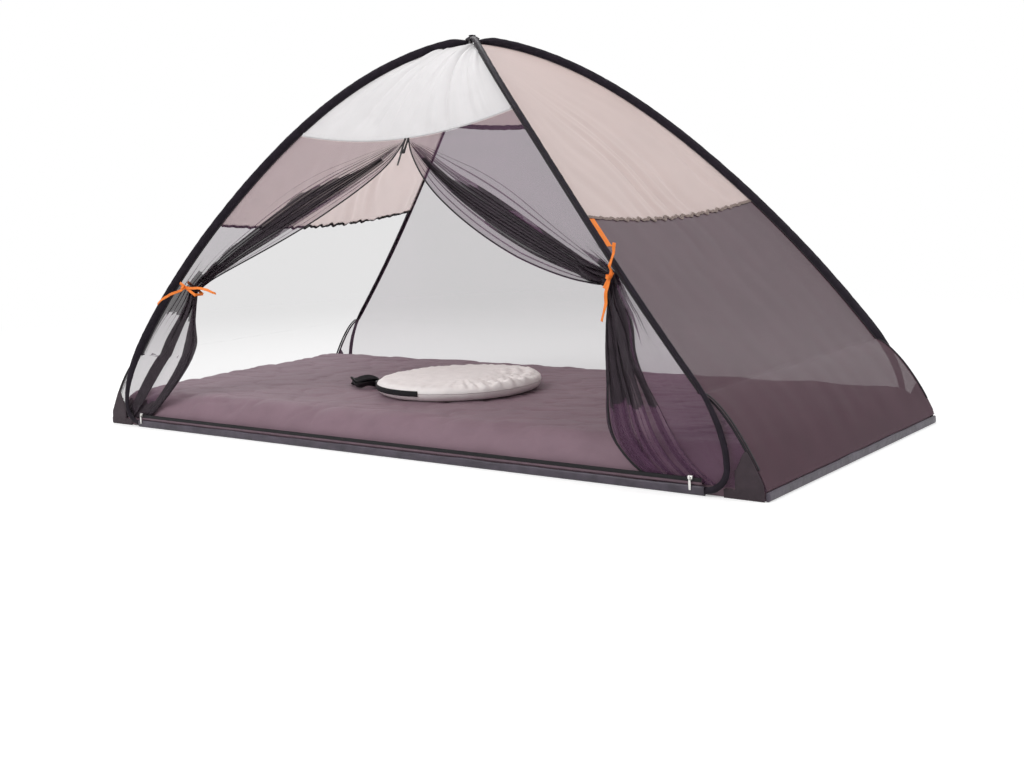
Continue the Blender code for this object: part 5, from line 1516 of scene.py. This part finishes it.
def build_bag_zip(centre):
    low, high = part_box("bag_zip_tape")
    reach = max(centre.x - low.x, high.y - centre.y, centre.y - low.y)
    angle = np.radians(np.linspace(120, 280, 150))
    out = np.stack([np.cos(angle), np.sin(angle), 0 * angle], -1)
    line = np.array([centre.x, centre.y, (low.z + high.z) / 2]) + out * (reach - BAG_TAPE_INSET)
    build_ribbon("bag_zip_strip", line, (0, 0, 1.0), high.z - low.z, RIBBON_THICK, "zip_tape", "zip_tape",
                 "bag", "bag_zip_tape", cup=BAG_TAPE_CUP)
    build_coil("bag_zip_coil", line + out * BAG_COIL_LIFT, out, BAG_COIL_RADIUS, BAG_COIL_PITCH, "bag")


def build_strap():
    """The folded carrying strap: webbing in a loose bunch of loops."""
    low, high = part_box("bag_strap")
    centre = (low + high) / 2
    cos = math.cos(math.radians(STRAP_DEGREES))
    sin = math.sin(math.radians(STRAP_DEGREES))
    t = np.linspace(0, 1, 560)
    sweep = math.tau * STRAP_LOOPS * t
    x = STRAP_HALF_LONG * np.cos(sweep) * (1 - 0.25 * t) + STRAP_STRAY[0] * np.sin(7 * t + 1)
    y = STRAP_HALF_WIDE * np.sin(sweep + 0.6 * np.sin(sweep)) * (1 - 0.2 * t)
    y += STRAP_STRAY[1] * np.cos(13 * t)
    z = low.z + STRAP_BASE + STRAP_RISE * t + STRAP_WAVE * np.cos(3 * sweep + 1) * smooth(t / 0.1)
    line = np.stack([centre.x + x * cos - y * sin, centre.y + x * sin + y * cos, z], -1)
    lean = (1.10 + 0.45 * np.sin(sweep * 0.7 + 1))[:, None]
    flat = unit(np.cross(along(line), np.array([0, 0, 1.0])))
    sides = flat * np.cos(lean) + np.array([0, 0, 1.0]) * np.sin(lean)
    build_ribbon("bag_webbing", line, sides, STRAP_WIDTH, STRAP_THICK, "strap_webbing", "strap_webbing",
                 "bag", "bag_strap", cup=STRAP_CUP)


def dress_nodes():
    """The hard parts keep their solids and get their materials."""
    for name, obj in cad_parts.items():
        for start, look in METAL_OF.items():
            if name.startswith(start):
                obj.data.materials.clear()
                obj.data.materials.append(METAL[look])


# Stage, lights and camera

def seen_directly(tree):
    """One where a camera, glossy or transmission ray meets the surface, none for the light it sends."""
    path = node(tree, "ShaderNodeLightPath", {}).outputs
    seen = path["Is Camera Ray"]
    for kind in ("Is Glossy Ray", "Is Transmission Ray"):
        seen = node(tree, "ShaderNodeMath", {0: seen, 1: path[kind]}, operation="MAXIMUM").outputs["Value"]
    return seen


def build_stage():
    """A pale floor with the object's shadow near it, that turns into the white of the world further out."""
    bpy.ops.mesh.primitive_circle_add(vertices=96, radius=FLOOR_RADIUS, fill_type="NGON")
    floor = bpy.context.object
    floor.name = "studio_floor"
    floor.location = (0, 0, -FLOOR_DROP)
    material, tree, shader = new_material("studio_floor")
    feed(tree, shader, {"Base Color": FLOOR_GREY, "Roughness": 0.9, "Specular IOR Level": 0.0})
    seen = seen_directly(tree)
    place = node(tree, "ShaderNodeTexCoord", {}).outputs["Object"]
    distance = node(tree, "ShaderNodeVectorMath", {0: place}, operation="LENGTH").outputs["Value"]
    far = node(tree, "ShaderNodeMapRange", {"From Min": FLOOR_NEAR, "From Max": FLOOR_FAR, "Value": distance},
               interpolation_type="SMOOTHSTEP")
    white = node(tree, "ShaderNodeMath", {0: far.outputs["Result"], 1: seen}, operation="MULTIPLY")
    strength = node(tree, "ShaderNodeMath", {0: seen, 1: FLOOR_GLOW_share}, operation="MULTIPLY")
    near_glow = node(tree, "ShaderNodeEmission", {"Strength": strength.outputs["Value"]})
    both = node(tree, "ShaderNodeAddShader", {0: shader.outputs["BSDF"], 1: near_glow.outputs["Emission"]})
    full_glow = node(tree, "ShaderNodeEmission", {})
    blended = node(tree, "ShaderNodeMixShader", {0: white.outputs["Value"], 1: both.outputs["Shader"],
                                                 2: full_glow.outputs["Emission"]})
    end_in(tree, blended.outputs["Shader"])
    floor.data.materials.append(material)


def build_world():
    world = bpy.data.worlds.new("studio")
    bpy.context.scene.world = world
    world.use_nodes = True
    tree = world.node_tree
    strength = node(tree, "ShaderNodeMapRange", {"To Min": WORLD_LIGHT_share, "To Max": 1.0,
                                                 "Value": seen_directly(tree)})
    feed(tree, tree.nodes["Background"], {"Color": (1, 1, 1, 1), "Strength": strength.outputs["Result"]})


def build_lights():
    for name, (place, target, size, power) in LAMPS.items():
        data = bpy.data.lights.new(name, "AREA")
        data.shape = "RECTANGLE"
        data.size, data.size_y = size
        data.energy = power
        lamp = bpy.data.objects.new(name, data)
        bpy.context.scene.collection.objects.link(lamp)
        lamp.location = place
        lamp.rotation_mode = "QUATERNION"
        lamp.rotation_quaternion = (Vector(target) - Vector(place)).to_track_quat("-Z", "Y")


def build_camera():
    data = bpy.data.cameras.new("photo_view")
    data.sensor_width = SENSOR_MM
    data.lens = FOCAL_px / IMAGE_WIDTH_px * SENSOR_MM
    data.shift_x = (IMAGE_WIDTH_px / 2 - CENTRE_X_px) / IMAGE_WIDTH_px
    data.shift_y = (CENTRE_Y_px - IMAGE_HEIGHT_px / 2) / IMAGE_WIDTH_px
    data.clip_end = CLIP_END
    camera = bpy.data.objects.new("photo_view", data)
    bpy.context.scene.collection.objects.link(camera)
    forward = Vector((math.cos(CAMERA_YAW) * math.cos(CAMERA_PITCH),
                      math.sin(CAMERA_YAW) * math.cos(CAMERA_PITCH), -math.sin(CAMERA_PITCH)))
    level = forward.cross(Vector((0, 0, 1))).normalized()
    upright = level.cross(forward)
    right = level * math.cos(CAMERA_ROLL) - upright * math.sin(CAMERA_ROLL)
    up = level * math.sin(CAMERA_ROLL) + upright * math.cos(CAMERA_ROLL)
    turn = Matrix((right, up, -forward)).transposed().to_4x4()
    camera.matrix_world = Matrix.Translation(CAMERA_PLACE) @ turn
    bpy.context.scene.camera = camera


def main():
    build_camera()
    dress_nodes()
    build_sleeves()
    build_panels()
    for name, shape in SHAPES.items():
        build_curtain(name, shape)
    build_cover()
    build_hems()
    build_hem_zip()
    build_door_zip()
    build_corner_patches()
    build_corner_edges()
    build_apex()
    for name, shape in SHAPES.items():
        build_tie(name, shape, TAILS[name])
    build_label()
    build_bag()
    build_stage()
    build_world()
    build_lights()
    bpy.context.scene.view_settings.view_transform = "Standard"


main()
